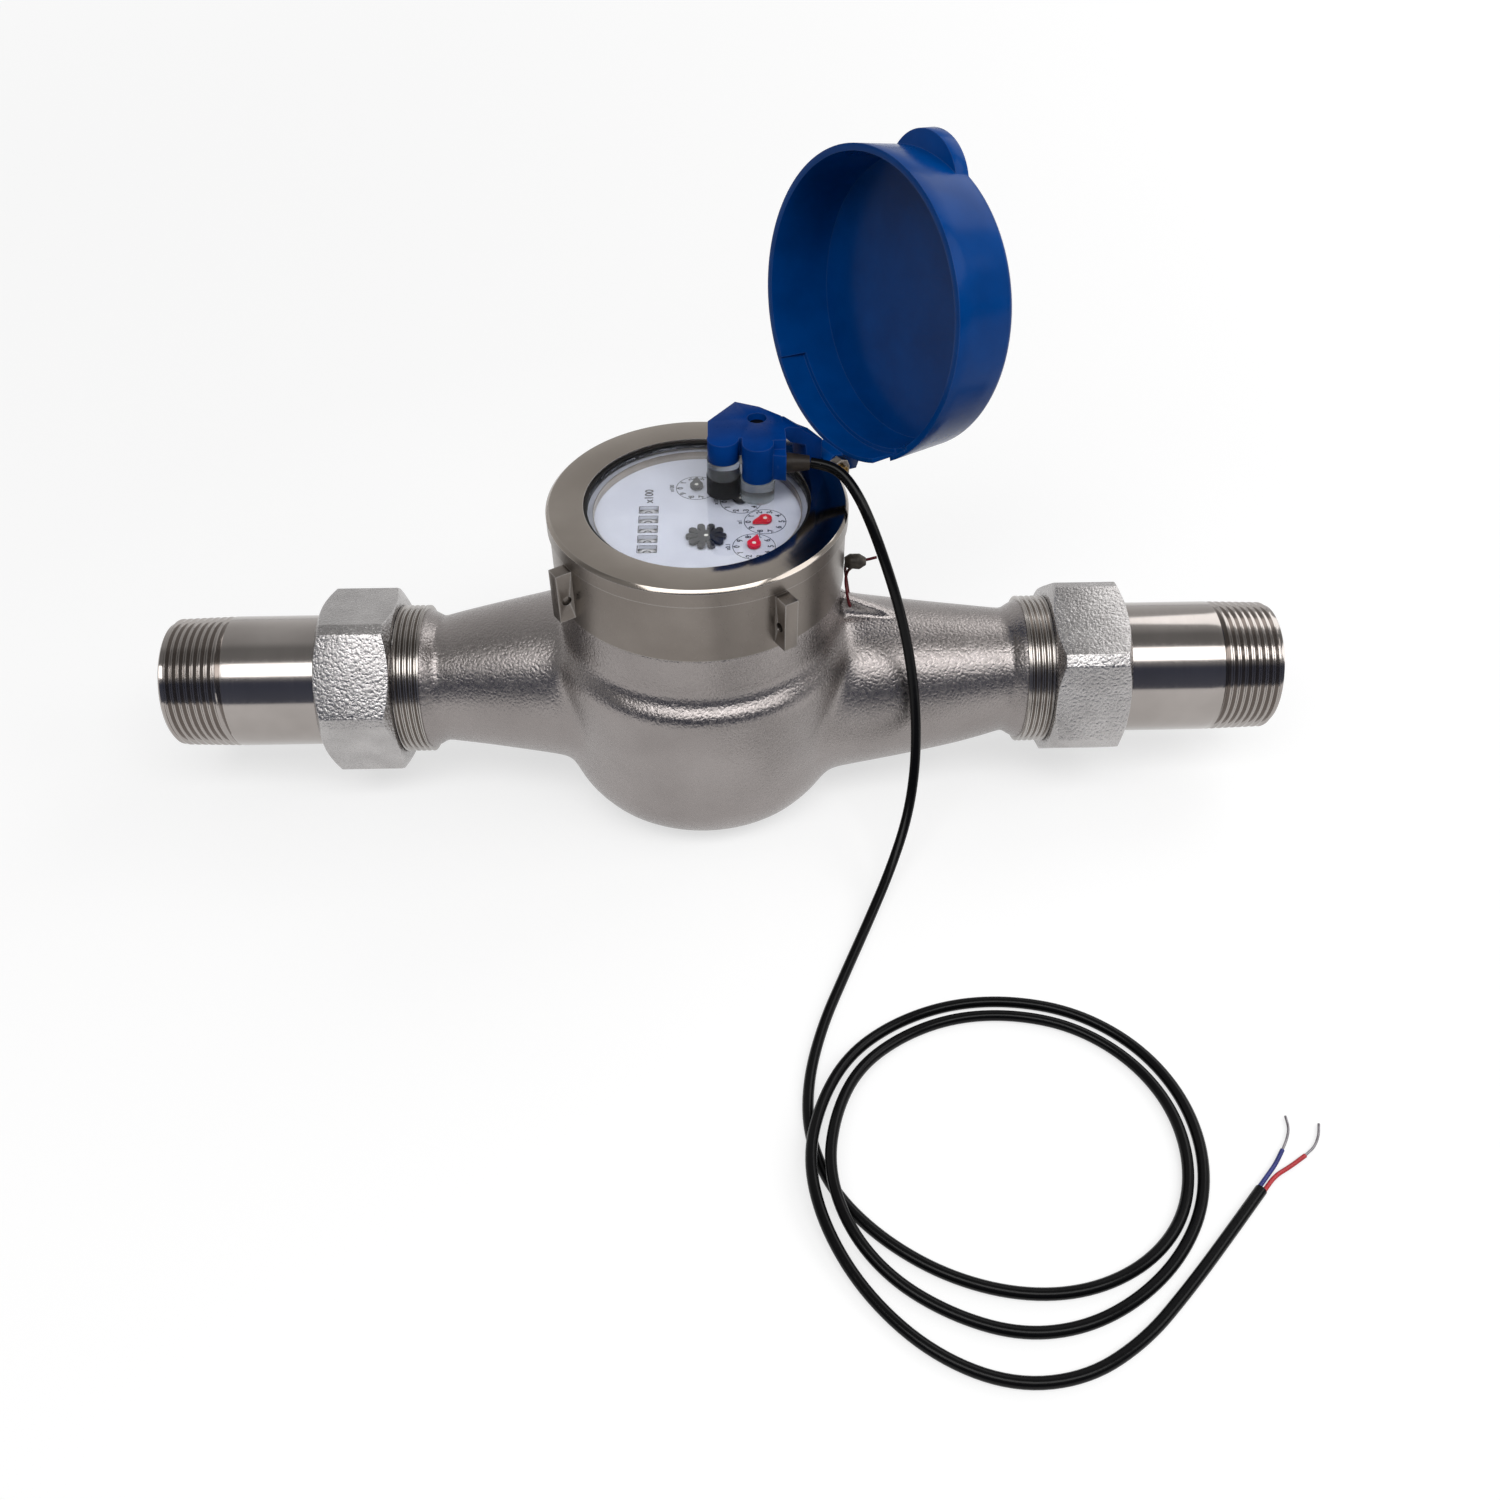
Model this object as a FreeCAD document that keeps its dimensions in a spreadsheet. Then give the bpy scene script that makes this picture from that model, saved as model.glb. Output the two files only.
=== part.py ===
import FreeCAD, Part
import os
import re
import Sketcher
from math import cos, tan

# Multi-jet water meter with a hinged lid and a pulse sensor, in millimetres.
# The origin is on the bowl's axis at the base, +X runs along the pipe to the inlet and +Z is up.

SIZES = [
    # pipe line
    ("pipe_axis", 38.0, "height of the pipe axis over the base"),
    ("outlet_reach", 109.8, "bowl axis to the outlet end face"),
    ("inlet_reach", 124.1, "bowl axis to the inlet end face"),
    ("tail", 21.08, "outer radius of the tailpieces"),
    ("tail_wall", 3.58, "wall of the tailpieces"),
    ("waist_wall", 2.7, "wall of the pipe behind its thread"),
    ("thread_over", 1.82, "core of the body's end threads over the tailpiece radius"),
    ("body_thread_run", 21.5, "length of the body's end threads"),
    ("flare", 4.5, "length of the cast flare behind a thread"),
    ("flare_swell", 1.6, "swell of the flare half way along"),
    ("flare_share", 0.4, "place of that swell from the thread, as a share of the flare"),
    ("flare_dip", 0.3, "dip of the waist before the flare"),
    ("flare_drop", 0.4, "step from the thread's core down to the flare"),
    ("bore_step", 1.0, "narrowing of the bore behind the threads"),
    # cast arms, given by distance back from the flare, rise over the pipe axis and swell over the waist
    ("outlet_tip_back", 12.8, "first outlet arm section"),
    ("outlet_tip_rise", 0.9, "rise of the first outlet arm section"),
    ("outlet_tip_swell", 2.5, "swell of the first outlet arm section"),
    ("outlet_mid_back", 32.8, "second outlet arm section"),
    ("outlet_mid_rise", 1.7, "rise of the second outlet arm section"),
    ("outlet_mid_swell", 6.2, "swell of the second outlet arm section"),
    ("outlet_root_rise", 2.6, "rise of the outlet arm's root"),
    ("inlet_tip_back", 11.4, "first inlet arm section"),
    ("inlet_tip_rise", -1.3, "rise of the first inlet arm section"),
    ("inlet_tip_swell", 2.0, "swell of the first inlet arm section"),
    ("inlet_mid_back", 30.1, "second inlet arm section"),
    ("inlet_mid_rise", -2.5, "rise of the second inlet arm section"),
    ("inlet_mid_swell", 5.2, "swell of the second inlet arm section"),
    ("inlet_root_rise", -4.0, "rise of the inlet arm's root"),
    ("arm_root", 24.0, "arm roots from the bowl axis"),
    ("root_swell", 12.0, "swell of the arm roots"),
    # cast bowl
    ("bowl_round", 20.0, "rounding of the base corner"),
    ("bowl_draft", 2.2, "taper of the bowl wall from shoulder to base"),
    ("bowl_wall", 5.8, "wall round the inlet annulus"),
    ("bowl_floor", 4.5, "thickness of the bowl's floor"),
    ("shoulder_out", 4.4, "shoulder radius over the neck radius"),
    ("shoulder_height", 60.0, "height where the shoulder turns in"),
    ("shoulder_rise", 6.5, "rise from shoulder to neck"),
    ("shoulder_round", 5.0, "rounding of the shoulder"),
    ("neck_relief", 0.6, "neck radius under the cap ring's skirt radius"),
    ("neck_step", 2.4, "step from the neck in to its thread"),
    ("neck_wall", 3.8, "wall of the threaded neck"),
    ("neck_drop", 8.8, "end of the neck under the cap ring's face"),
    ("ledge_wide", 3.4, "width of the ledge under the pressure plate"),
    ("seat_wide", 5.0, "width of the seat between the two annuli"),
    ("seat_thick", 3.0, "thickness of that seat"),
    ("seat_top", 43.0, "height of the seat's face"),
    ("inlet_port_height", 25.0, "centre of the inlet port in the bowl wall"),
    ("inlet_port", 12.0, "radius of the inlet port"),
    ("outlet_port_rise", 13.0, "centre of the outlet port over the seat"),
    ("outlet_port", 11.0, "radius of the outlet port"),
    ("port_overlap", 6.0, "how far a port's passage runs into its annulus"),
    ("web_reach", 62.5, "tip of the sealing web from the bowl axis"),
    ("web_cover", 1.8, "least height of the web's seat over the pipe's waist"),
    ("web_rise", 10.5, "top of the sealing web at the neck over its seat"),
    ("web_tip_rise", 2.3, "top of the sealing web at its tip over its seat"),
    ("web_land", 0.6, "flat of the sealing web at the neck"),
    ("web_thick", 3.6, "thickness of the sealing web"),
    ("web_hole_out", 3.4, "sealing hole from the neck"),
    ("web_hole_rise", 6.3, "sealing hole over the web's seat"),
    ("wire_hole", 1.1, "radius of the sealing hole"),
    # union ends
    ("nut_wall", 3.6, "wall of the union nut at its flats"),
    ("nut_corner_out", 3.0, "cut corners over the flats"),
    ("nut_run", 23.5, "length of the union nut"),
    ("nut_lip", 3.4, "thickness of the nut's lip"),
    ("nut_chamfer_in", 0.3, "start of the nut's end chamfer inside the flats"),
    ("nut_chamfer_slope", 30.0, "slope of the nut's end chamfer"),
    ("outlet_nut_turn", 42.0, "elevation of the outlet nut's front flat"),
    ("inlet_nut_turn", 14.5, "elevation of the inlet nut's front flat"),
    ("tail_taper", 0.38, "crests of the tailpiece thread under its radius, half way along"),
    ("tail_thread_run", 20.7, "length of the tailpiece thread"),
    ("tail_show", 50.3, "tailpiece length past the nut"),
    ("tail_chamfer", 1.2, "chamfer at the tailpiece tip"),
    ("flange_relief", 0.5, "tailpiece flange under the nut's thread"),
    ("tail_flange_thick", 5.0, "thickness of that flange"),
    ("tail_gasket_thick", 2.0, "thickness of the flat union gasket"),
    ("thread_clearance", 0.1, "radial clearance of threaded fits"),
    ("seat_clearance", 0.2, "axial clearance of loose seats"),
    ("slip_clearance", 0.3, "radial clearance of loose fits"),
    # cap ring
    ("ring", 44.8, "radius of the cap ring's rim"),
    ("ring_relief", 0.6, "skirt radius under the rim radius"),
    ("ring_tall", 25.5, "height of the cap ring"),
    ("rim_tall", 5.6, "height of the rim"),
    ("ring_bevel", 1.0, "bevel of the rim"),
    ("ring_lip", 4.0, "thickness of the lip over the lens"),
    ("ring_face", 11.16, "width of the cap ring's face"),
    ("lug_wide", 4.4, "width of a wrench lug"),
    ("lug_proud", 5.0, "how far a lug stands out of the skirt"),
    ("lug_drop", 1.2, "lug's upper end under the rim"),
    ("lug_tall", 16.5, "height of a lug"),
    ("lug_hole", 1.5, "radius of the sealing hole in a lug"),
    ("lug_hole_up", 7.0, "height of that hole over the lug's foot"),
    ("lug_hole_in", 2.7, "that hole from the lug's face"),
    ("lugs", 3, "number of wrench lugs, spread over half a turn"),
    # lid and hinge, laid out with local +X towards the hinge
    ("hinge_turn", 32.4, "azimuth of the hinge"),
    ("hinge_out", 2.2, "hinge axis outside the rim"),
    ("hinge_drop", 1.8, "hinge axis under the cap ring's face"),
    ("hinge_pin", 1.5, "radius of the hinge pin"),
    ("pin_clearance", 0.05, "radial clearance of the knuckle on its pin"),
    ("hinge_boss", 3.1, "radius of ears and knuckle round the pin"),
    ("knuckle_wide", 10.0, "width of the lid's knuckle"),
    ("knuckle_tall", 9.0, "height of the knuckle's root on the lid wall"),
    ("knuckle_back", 6.5, "height of the knuckle's back"),
    ("knuckle_cut", 1.9, "corner cut under the knuckle"),
    ("knuckle_bite", 2.0, "depth of the knuckle's gap into the rim"),
    ("knuckle_room", 2.5, "depth of the knuckle's gap in the skirt under the rim"),
    ("ear_thick", 2.8, "thickness of a hinge ear"),
    ("ear_root", 1.6, "ear's root inside the skirt"),
    ("ear_foot", 0.5, "ear's foot inside the hinge axis"),
    ("ear_drop", 4.0, "foot of an ear under the rim"),
    ("pin_proud", 1.6, "pin length past each ear"),
    ("lid_open", 98.0, "angle of the open lid"),
    ("lid_inset", 0.4, "lid's rim inside the cap ring's rim"),
    ("lid_draft", 1.8, "taper of the lid from rim to crown"),
    ("lid_depth", 22.15, "depth of the lid"),
    ("lid_wall", 2.0, "wall of the lid"),
    ("lid_gap", 0.4, "gap between the shut lid and the cap ring"),
    ("lid_round", 3.0, "rounding of the lid's crown edge"),
    ("tab_proud", 4.2, "reach of the thumb tab past the rim"),
    ("tab_round", 15.0, "radius of the thumb tab"),
    ("tab_thick", 4.5, "thickness of the thumb tab"),
    ("tab_rise", 1.5, "thumb tab's face over the crown's rounding"),
    ("notch_turn", -31.0, "azimuth of the cable notch from the hinge"),
    ("notch_wide", 8.4, "width of the cable notch"),
    ("notch_tall", 9.4, "height of the cable notch"),
    ("step_half", 48.0, "half angle of the recess inside the rim"),
    ("step_deep", 0.6, "depth of the recess inside the rim"),
    ("step_tall", 9.0, "height of the recess inside the rim"),
    # lens and register
    ("lens_clearance", 0.4, "lens flange inside the neck's bore"),
    ("lens_drop", 1.8, "lens face under the cap ring's face"),
    ("lens_thick", 2.8, "thickness of the lens"),
    ("lens_skirt", 1.6, "wall of the lens under its face"),
    ("lens_flange_thick", 2.0, "thickness of the lens flange"),
    ("gasket_thick", 0.8, "thickness of the lens gasket"),
    ("gasket_lip", 0.9, "how far the gasket's lip ends under the ring face"),
    ("gasket_lip_wide", 0.94, "width of the gasket's lip between lens and window"),
    ("case_clearance", 0.6, "register case inside the neck's bore"),
    ("case_wall", 1.6, "wall of the register case"),
    ("dial_thick", 1.0, "thickness of the dial plate"),
    ("dial_drop", 0.4, "dial face under the case rim"),
    ("dial_rise", 4.4, "dial plate over the upper train plate's underside"),
    ("dial_clearance", 0.6, "dial inside the case wall"),
    ("dial_ledge", 1.2, "width of the ledge that carries the dial"),
    ("ledge_tall", 2.0, "height of that ledge at its edge"),
    ("plate_clearance", 0.2, "pressure plate inside the neck's bore"),
    ("plate_thick", 7.0, "thickness of the pressure plate"),
    ("plate_web", 2.6, "thickness of the plate between the magnets"),
    ("cup_room", 2.0, "room round the magnet in the pressure plate"),
    ("ring_cord", 1.3, "half the section of the body's sealing ring"),
    ("ring_squeeze", 0.2, "how far the sealing ring stands out of its plate"),
    ("groove_grip", 0.15, "clearance of the sealing ring in its groove"),
    # measuring unit
    ("chamber_wall", 2.2, "wall of the measuring chamber"),
    ("chamber_base", 8.0, "height of the chamber's underside"),
    ("chamber_rise", 21.0, "chamber's upper edge over the seat"),
    ("flange_clearance", 0.8, "chamber flange inside the outlet annulus"),
    ("chamber_flange_thick", 3.0, "thickness of that flange"),
    ("jets", 12, "number of jets in each ring"),
    ("jet_wide", 3.6, "width of a jet"),
    ("jet_tall", 7.0, "height of a jet"),
    ("jet_offset", 12.0, "offset of a jet from the radius"),
    ("jet_low_rise", 7.0, "inlet jets over the chamber's underside"),
    ("jet_high_rise", 7.0, "outlet jets over the seat"),
    ("cover_thick", 3.0, "thickness of the chamber cover"),
    ("cover_rim", 3.0, "width of the cover's raised rim"),
    ("cover_seat", 6.0, "height of the cover from chamber to pressure plate"),
    ("strainer_clearance", 0.6, "strainer inside the seat's bore"),
    ("strainer_room", 3.4, "chamber radius under the strainer radius"),
    ("strainer_wall", 1.0, "wall of the strainer"),
    ("strainer_lift", 1.7, "strainer's underside over the bowl's floor"),
    ("strainer_foot", 4.0, "width of the strainer's turned-in foot"),
    ("strainer_slots", 24, "number of strainer slots"),
    ("slot_rise", 4.8, "lower end of a slot over the strainer's underside"),
    ("slot_wide", 2.6, "width of a strainer slot"),
    ("slot_tall", 22.0, "height of a strainer slot"),
    ("vane_clearance", 1.8, "impeller inside the chamber wall"),
    ("impeller_hub", 5.0, "radius of the impeller hub"),
    ("hub_taper", 3.0, "height of the hub's upper taper"),
    ("vanes", 8, "number of impeller vanes"),
    ("vane_thick", 1.6, "thickness of a vane"),
    ("vane_rise", 6.0, "vanes over the chamber's underside"),
    ("vane_tall", 30.0, "height of the vanes"),
    ("vane_cut", 3.0, "corner cut of a vane"),
    ("pivot", 1.5, "radius of the impeller pivot"),
    ("pivot_base", 3.2, "radius of the pivot's foot"),
    ("pivot_base_thick", 1.2, "thickness of the pivot's foot"),
    ("pivot_rise", 10.0, "pivot tip over the chamber's underside"),
    ("pivot_point", 1.0, "height of the pivot's point"),
    ("pivot_play", 0.2, "play over the pivot's point"),
    ("spindle", 2.0, "radius of the impeller spindle"),
    ("spindle_clearance", 0.08, "radial clearance of running spindles"),
    ("magnet", 9.0, "radius of the coupling magnets"),
    ("magnet_thick", 4.0, "thickness of the coupling magnets"),
    ("magnet_gap", 0.6, "gap between magnets and pressure plate"),
    # register train
    ("frame_base", 2.6, "lower train plate over the case floor"),
    ("train_plate", 1.0, "thickness of the train plates"),
    ("train_gap", 11.0, "clear height between the train plates"),
    ("train_clearance", 2.2, "train plates inside the case wall"),
    ("edge_clearance", 1.3, "straight edge of the upper train plate from the number wheels"),
    ("pillar", 1.6, "radius of the train pillars"),
    ("pillar_inset", 4.0, "pillar circle inside the train plates"),
    ("pillars", 3, "number of train pillars"),
    ("gear_thick", 1.2, "thickness of the train wheels"),
    ("gear_level", 1.8, "height from one train level to the next"),
    ("gear_lift", 0.4, "first train level over the lower plate"),
    ("arbor", 0.6, "radius of the train arbors"),
    ("arbor_clearance", 0.06, "radial clearance of the train arbors"),
    ("drive_teeth", 20, "teeth of the magnet wheel and of the star wheel gear"),
    ("pinion_teeth", 9, "teeth of the pinions"),
    ("first_teeth", 30, "teeth of the intermediate wheels"),
    ("second_teeth", 27, "teeth of the pointer wheels"),
    ("star_x", 2.5, "star wheel place along the pipe"),
    ("star_y", -11.9, "star wheel place across the pipe"),
    ("unit_x", 16.4, "first pointer along the pipe"),
    ("unit_y", -16.0, "first pointer across the pipe"),
    ("ten_x", 20.0, "second pointer along the pipe"),
    ("ten_y", -3.6, "second pointer across the pipe"),
    ("hundred_x", 13.0, "third pointer along the pipe"),
    ("hundred_y", 7.1, "third pointer across the pipe"),
    ("thousand_x", -0.4, "fourth pointer along the pipe"),
    ("thousand_y", 14.7, "fourth pointer across the pipe"),
    ("pointer_lift", 0.5, "pointer underside over the dial"),
    ("pointer_thick", 0.9, "thickness of pointers and star wheel"),
    ("pointer_hub", 2.0, "radius of a pointer's round end"),
    ("pointer_tip", 4.2, "reach of a pointer's tip"),
    ("tip_share", 0.96, "half width of the tip at its root, as a share of the round end"),
    ("tip_long", 0.7, "length of the pointer's point"),
    ("tip_half", 0.5, "half width of the pointer's point"),
    ("petals", 10, "petals of the star wheel"),
    ("star_hub", 2.6, "radius of the star wheel's middle"),
    ("star", 6.0, "radius of the star wheel"),
    ("petal_half", 1.15, "half width of a petal"),
    ("petal_bite", 0.8, "petal's root inside the star wheel's middle"),
    ("petal_root", 0.45, "half width of a petal at its root"),
    ("petal_round", 1.2, "length of a petal's rounded end"),
    ("petal_corner", 0.3, "cut of a petal's end"),
    ("petal_end", 0.8, "half width of a petal at that cut"),
    # number wheels
    ("count_x", -14.7, "number wheel axis along the pipe"),
    ("count_first", -16.6, "middle of the slowest number wheel across the pipe"),
    ("count_pitch", 5.0, "pitch of the number wheels"),
    ("count_wheel", 5.0, "radius of a number wheel"),
    ("count_wide", 4.2, "width of a number wheel"),
    ("count_track", 0.9, "width of the toothed track beside the numbers"),
    ("track_deep", 0.8, "depth of that track"),
    ("count_shaft", 1.0, "radius of the number wheel shaft"),
    ("count_sink", 0.3, "number wheel under the dial plate"),
    ("window_long", 3.2, "dial window across the pipe"),
    ("window_wide", 5.4, "dial window along the pipe"),
    ("transfer_wheel", 1.7, "radius of the transfer pinions"),
    ("transfer_wide", 1.6, "width of a transfer pinion"),
    ("cheek_thick", 1.2, "thickness of the number wheel bracket's cheeks"),
    ("cheek_half", 3.0, "half width of a cheek"),
    ("cheek_over", 2.0, "cheek over the number wheel shaft's axis"),
    # pulse sensor
    ("post_one_x", 7.9, "first sensor post along the pipe"),
    ("post_one_y", 7.1, "first sensor post across the pipe"),
    ("post_turn", -15.5, "heading from the first post to the second"),
    ("post_gap", 0.28, "gap between the feet of the two posts"),
    ("post", 4.65, "radius of the sensor posts"),
    ("sensor_rise", 18.0, "sensor's face over the lens"),
    ("sensor_thick", 6.0, "thickness of the sensor's head"),
    ("foot_over", 0.45, "foot radius over the post radius"),
    ("sleeve_in", 0.2, "clear sleeve's radius under the foot radius"),
    ("foot_tall", 5.9, "height of the rubber foot"),
    ("sleeve_tall", 5.5, "height of the clear sleeve on the foot"),
    ("socket_tall", 6.6, "height of the second clear socket"),
    ("screw_x", 18.1, "sensor screw along the pipe"),
    ("screw_y", 18.2, "sensor screw across the pipe"),
    ("screw_hole", 2.9, "radius of the screw's counterbore"),
    ("screw_shank", 1.5, "radius of the screw's shank"),
    ("screw_head_thick", 2.0, "thickness of the screw's head"),
    ("screw_sink", 4.0, "depth of the counterbore"),
    ("screw_run", 6.0, "length of the screw's shank"),
    ("screw_wall", 1.0, "wall round the counterbore"),
    ("screw_floor", 1.2, "boss under the screw's end"),
    ("head_inset", 0.2, "head's edge inside the first post's edge"),
    ("head_neck", 0.4, "head's front corner inside the first post's edge"),
    ("head_side", 10.0, "head's corner at the cable side across the pipe"),
    ("head_shoulder_x", 25.3, "head's shoulder along the pipe"),
    ("head_shoulder_y", 19.4, "head's shoulder across the pipe"),
    ("head_back_x", 18.9, "head's back corner along the pipe"),
    ("head_back_y", 24.7, "head's back corner across the pipe"),
    ("head_peak_x", 11.7, "head's peak along the pipe"),
    ("head_peak_y", 27.8, "head's peak across the pipe"),
    ("head_corner", 5.0, "head's left corner behind the first post's edge"),
    ("head_front", 1.5, "head's front edge behind the second post's axis at the cable side"),
    ("head_notch", 3.2, "depth of the notch between the posts in the head"),
    ("block_run", 8.3, "cable block's face from the second post"),
    ("block_front", 1.4, "cable block's root in front of the second post's axis"),
    ("block_flare", 2.4, "cable block's corner in front of the second post's axis"),
    ("block_side", 4.7, "cable block's corner behind the second post's axis"),
    ("block_heel", 4.0, "cable block's back corner along the pipe from the second post"),
    ("block_back", 8.7, "cable block's back corner behind the second post's axis"),
    ("block_root", 6.7, "cable block's root behind the second post's axis"),
    ("block_bite", 1.5, "cable block's overlap with the second post"),
    ("block_cover", 1.0, "cable block over the grommet"),
    ("arm_wide", 7.6, "width of the arm towards the hinge"),
    ("arm_foot_in", 2.4, "arm's foot inside the cap ring's rim"),
    ("arm_foot_deep", 5.1, "depth of the arm's foot"),
    ("arm_foot_tall", 8.0, "height of the arm's foot"),
    ("arm_foot_slope", 1.0, "slope of the arm's foot towards the dial"),
    ("arm_knee_in", 4.0, "arm's knee inside its foot"),
    ("arm_knee_drop", 5.5, "arm's knee under the sensor's face"),
    ("arm_deep", 7.5, "depth of the arm at its knee"),
    ("arm_neck_in", 4.9, "arm's upper bend inside its knee"),
    ("arm_neck_deep", 6.5, "depth of the arm at its upper bend"),
    ("arm_neck_drop", 1.3, "arm's upper bend under the sensor's face"),
    ("arm_head_in", 3.5, "arm's end in the head inside its upper bend"),
    ("arm_head_deep", 6.0, "depth of the arm's end in the head"),
    ("reed", 1.6, "radius of the reed switch capsule"),
    ("reed_tall", 8.0, "length of the reed switch capsule"),
    ("reed_floor", 1.5, "space under the reed switch capsule"),
    ("grommet_shift", 0.3, "cable exit behind the second post's axis"),
    ("grommet_drop", 7.0, "cable exit under the sensor's face"),
    ("grommet", 2.9, "radius of the cable grommet"),
    ("grommet_plug", 2.1, "radius of the grommet in the cable block"),
    ("grommet_depth", 2.5, "depth of the grommet in the cable block"),
    ("grommet_collar", 1.6, "length of the grommet's collar"),
    ("grommet_tip", 2.1, "radius of the grommet at the cable"),
    ("grommet_run", 6.9, "length of the grommet past the block"),
    # cable and seal
    ("cable", 1.6, "radius of the signal cable"),
    ("core", 0.6, "radius of an insulated core"),
    ("strand", 0.35, "radius of a bare strand"),
    ("wire", 0.45, "radius of the sealing wire"),
    ("wire_slack", 1.1, "sealing wire from the web's face"),
    ("wire_lift", 1.5, "rise of the sealing wire's tip over the lead seal"),
    ("seal_half", 3.3, "half the length of the lead seal"),
    ("seal_round", 2.4, "radius of the lead seal"),
    ("seal_foot", 1.4, "radius of the lead seal's squeezed foot"),
    ("seal_foot_long", 1.65, "length of that foot"),
    ("seal_nose", 1.2, "radius of the lead seal's nose"),
    ("seal_nose_long", 2.0, "length of that nose"),
    ("seal_up", 2.6, "lead seal over the cap ring's lower edge"),
    ("seal_shift", -0.7, "lead seal across the pipe"),
]

# Places and radii that follow from the sizes, from the cap ring inwards and from the seat upwards.
DERIVED = {
    "pipe_bore": "tail - tail_wall",
    "waist": "pipe_bore + waist_wall",
    "body_thread": "tail + thread_over",
    "outlet_thread": "outlet_reach - body_thread_run",
    "inlet_thread": "inlet_reach - body_thread_run",
    "outlet_flare": "outlet_thread - flare",
    "inlet_flare": "inlet_thread - flare",
    "tail_thread": "tail - tail_taper",
    "tail_flange": "body_thread - flange_relief",
    "nut_flat": "body_thread + nut_wall",
    "nut_corner": "nut_flat + nut_corner_out",
    "nut_chamfer": "nut_flat - nut_chamfer_in",
    "ring_skirt": "ring - ring_relief",
    "neck": "ring_skirt - neck_relief",
    "neck_thread": "neck - neck_step",
    "neck_bore": "neck_thread - neck_wall",
    "shoulder": "neck + shoulder_out",
    "bowl_base": "shoulder - bowl_draft",
    "lower_bore": "bowl_base - bowl_wall",
    "upper_bore": "neck_bore - ledge_wide",
    "seat_bore": "upper_bore - seat_wide",
    "window": "ring - ring_face",
    "lens_disc": "window - gasket_lip_wide",
    "lens_flange": "neck_bore - lens_clearance",
    "case": "neck_bore - case_clearance",
    "case_inside": "case - case_wall",
    "dial": "case_inside - dial_clearance",
    "plate": "neck_bore - plate_clearance",
    "plate_cup": "magnet + cup_room",
    "train_radius": "case_inside - train_clearance",
    "train_edge": "count_x + count_wheel + edge_clearance",
    "pillar_reach": "train_radius - pillar_inset",
    "chamber_flange": "upper_bore - flange_clearance",
    "strainer": "seat_bore - strainer_clearance",
    "chamber": "strainer - strainer_room",
    "impeller": "chamber - chamber_wall - vane_clearance",
    "hinge_reach": "ring + hinge_out",
    "lid_rim": "ring - lid_inset",
    "lid_crown": "lid_rim - lid_draft",
    "tab_reach": "lid_rim + tab_proud",
    "neck_base": "shoulder_height + shoulder_rise",
    "web_seat": "max(shoulder_height; pipe_axis + waist + web_cover)",
    "web_top": "web_seat + web_rise",
    "web_tip": "web_seat + web_tip_rise",
    "web_hole_height": "web_seat + web_hole_rise",
    "web_hole_at": "neck + web_hole_out",
    "outlet_port_height": "seat_top + outlet_port_rise",
    "jet_low": "chamber_base + jet_low_rise",
    "jet_high": "seat_top + jet_high_rise",
    "vane_base": "chamber_base + vane_rise",
    "vane_top": "vane_base + vane_tall",
    "pivot_tip": "chamber_base + pivot_rise",
    "strainer_base": "bowl_floor + strainer_lift",
    "slot_low": "strainer_base + slot_rise",
    "chamber_top": "seat_top + chamber_rise",
    "plate_ledge": "chamber_top + cover_seat",
    "case_base": "plate_ledge + plate_thick",
    "case_floor": "case_base + case_wall",
    "train_floor": "case_floor + frame_base + train_plate",
    "train_roof": "train_floor + train_gap",
    "dial_under": "train_roof + dial_rise",
    "dial_top": "dial_under + dial_thick",
    "pointer_base": "dial_top + pointer_lift",
    "count_axis": "dial_under - count_sink - count_wheel",
    "lens_under": "dial_top + dial_drop",
    "ring_under": "lens_under + lens_flange_thick + gasket_thick",
    "ring_top": "ring_under + ring_lip",
    "ring_base": "ring_top - ring_tall",
    "ring_step": "ring_top - rim_tall",
    "neck_top": "ring_top - neck_drop",
    "lens_top": "ring_top - lens_drop",
    "hinge_height": "ring_top - hinge_drop",
    "lid_base": "ring_top + lid_gap",
    "lid_top": "lid_base + lid_depth",
    "sensor_top": "lens_top + sensor_rise",
    "foot": "post + foot_over",
    "post_two_x": "post_one_x + (2 * foot + post_gap) * cos(post_turn)",
    "post_two_y": "post_one_y + (2 * foot + post_gap) * sin(post_turn)",
    "foot_top": "lens_top + foot_tall",
    "post_one_low": "foot_top + sleeve_tall",
    "post_two_low": "lens_top + socket_tall",
    "screw_seat": "sensor_top - screw_sink",
    "reed_low": "post_two_low + reed_floor",
    "grommet_face": "post_two_x + block_run",
    "grommet_y": "post_two_y + grommet_shift",
    "grommet_height": "sensor_top - grommet_drop",
    "arm_foot": "ring - arm_foot_in",
    "arm_knee": "arm_foot - arm_knee_in",
    "arm_neck": "arm_knee - arm_neck_in",
    "arm_head": "arm_neck - arm_head_in",
    "wire_side": "web_thick / 2 + wire_slack",
    "seal_at": "ring_skirt + seal_half + slip_clearance",
    "seal_height": "ring_base + seal_up",
}

doc = FreeCAD.newDocument("water_meter")
sheet = doc.addObject("Spreadsheet::Sheet", "Sizes")
NAMES = {alias for alias, _, _ in SIZES}
WORD = re.compile(r"[a-z][a-z_]*")
VECTOR = FreeCAD.Vector
UP = VECTOR(0, 0, 1)
PARTS = []
GASKETS = []
PAST = 1.0  # how far a cut runs past the face it opens
TOLERANCE = 0.01  # how near an edge must be to count as the one looked for
CORNER_SHARE = 0.45  # share of a straight run that a rounded corner may use
FLATS = 6
WHEELS = 5
# Corners of a gear tooth: reach over the pitch circle and offset from its middle, in modules.
TOOTH = [(-1.3, -0.75), (0.7, -0.3), (0.7, 0.3), (-1.3, 0.75)]


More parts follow.
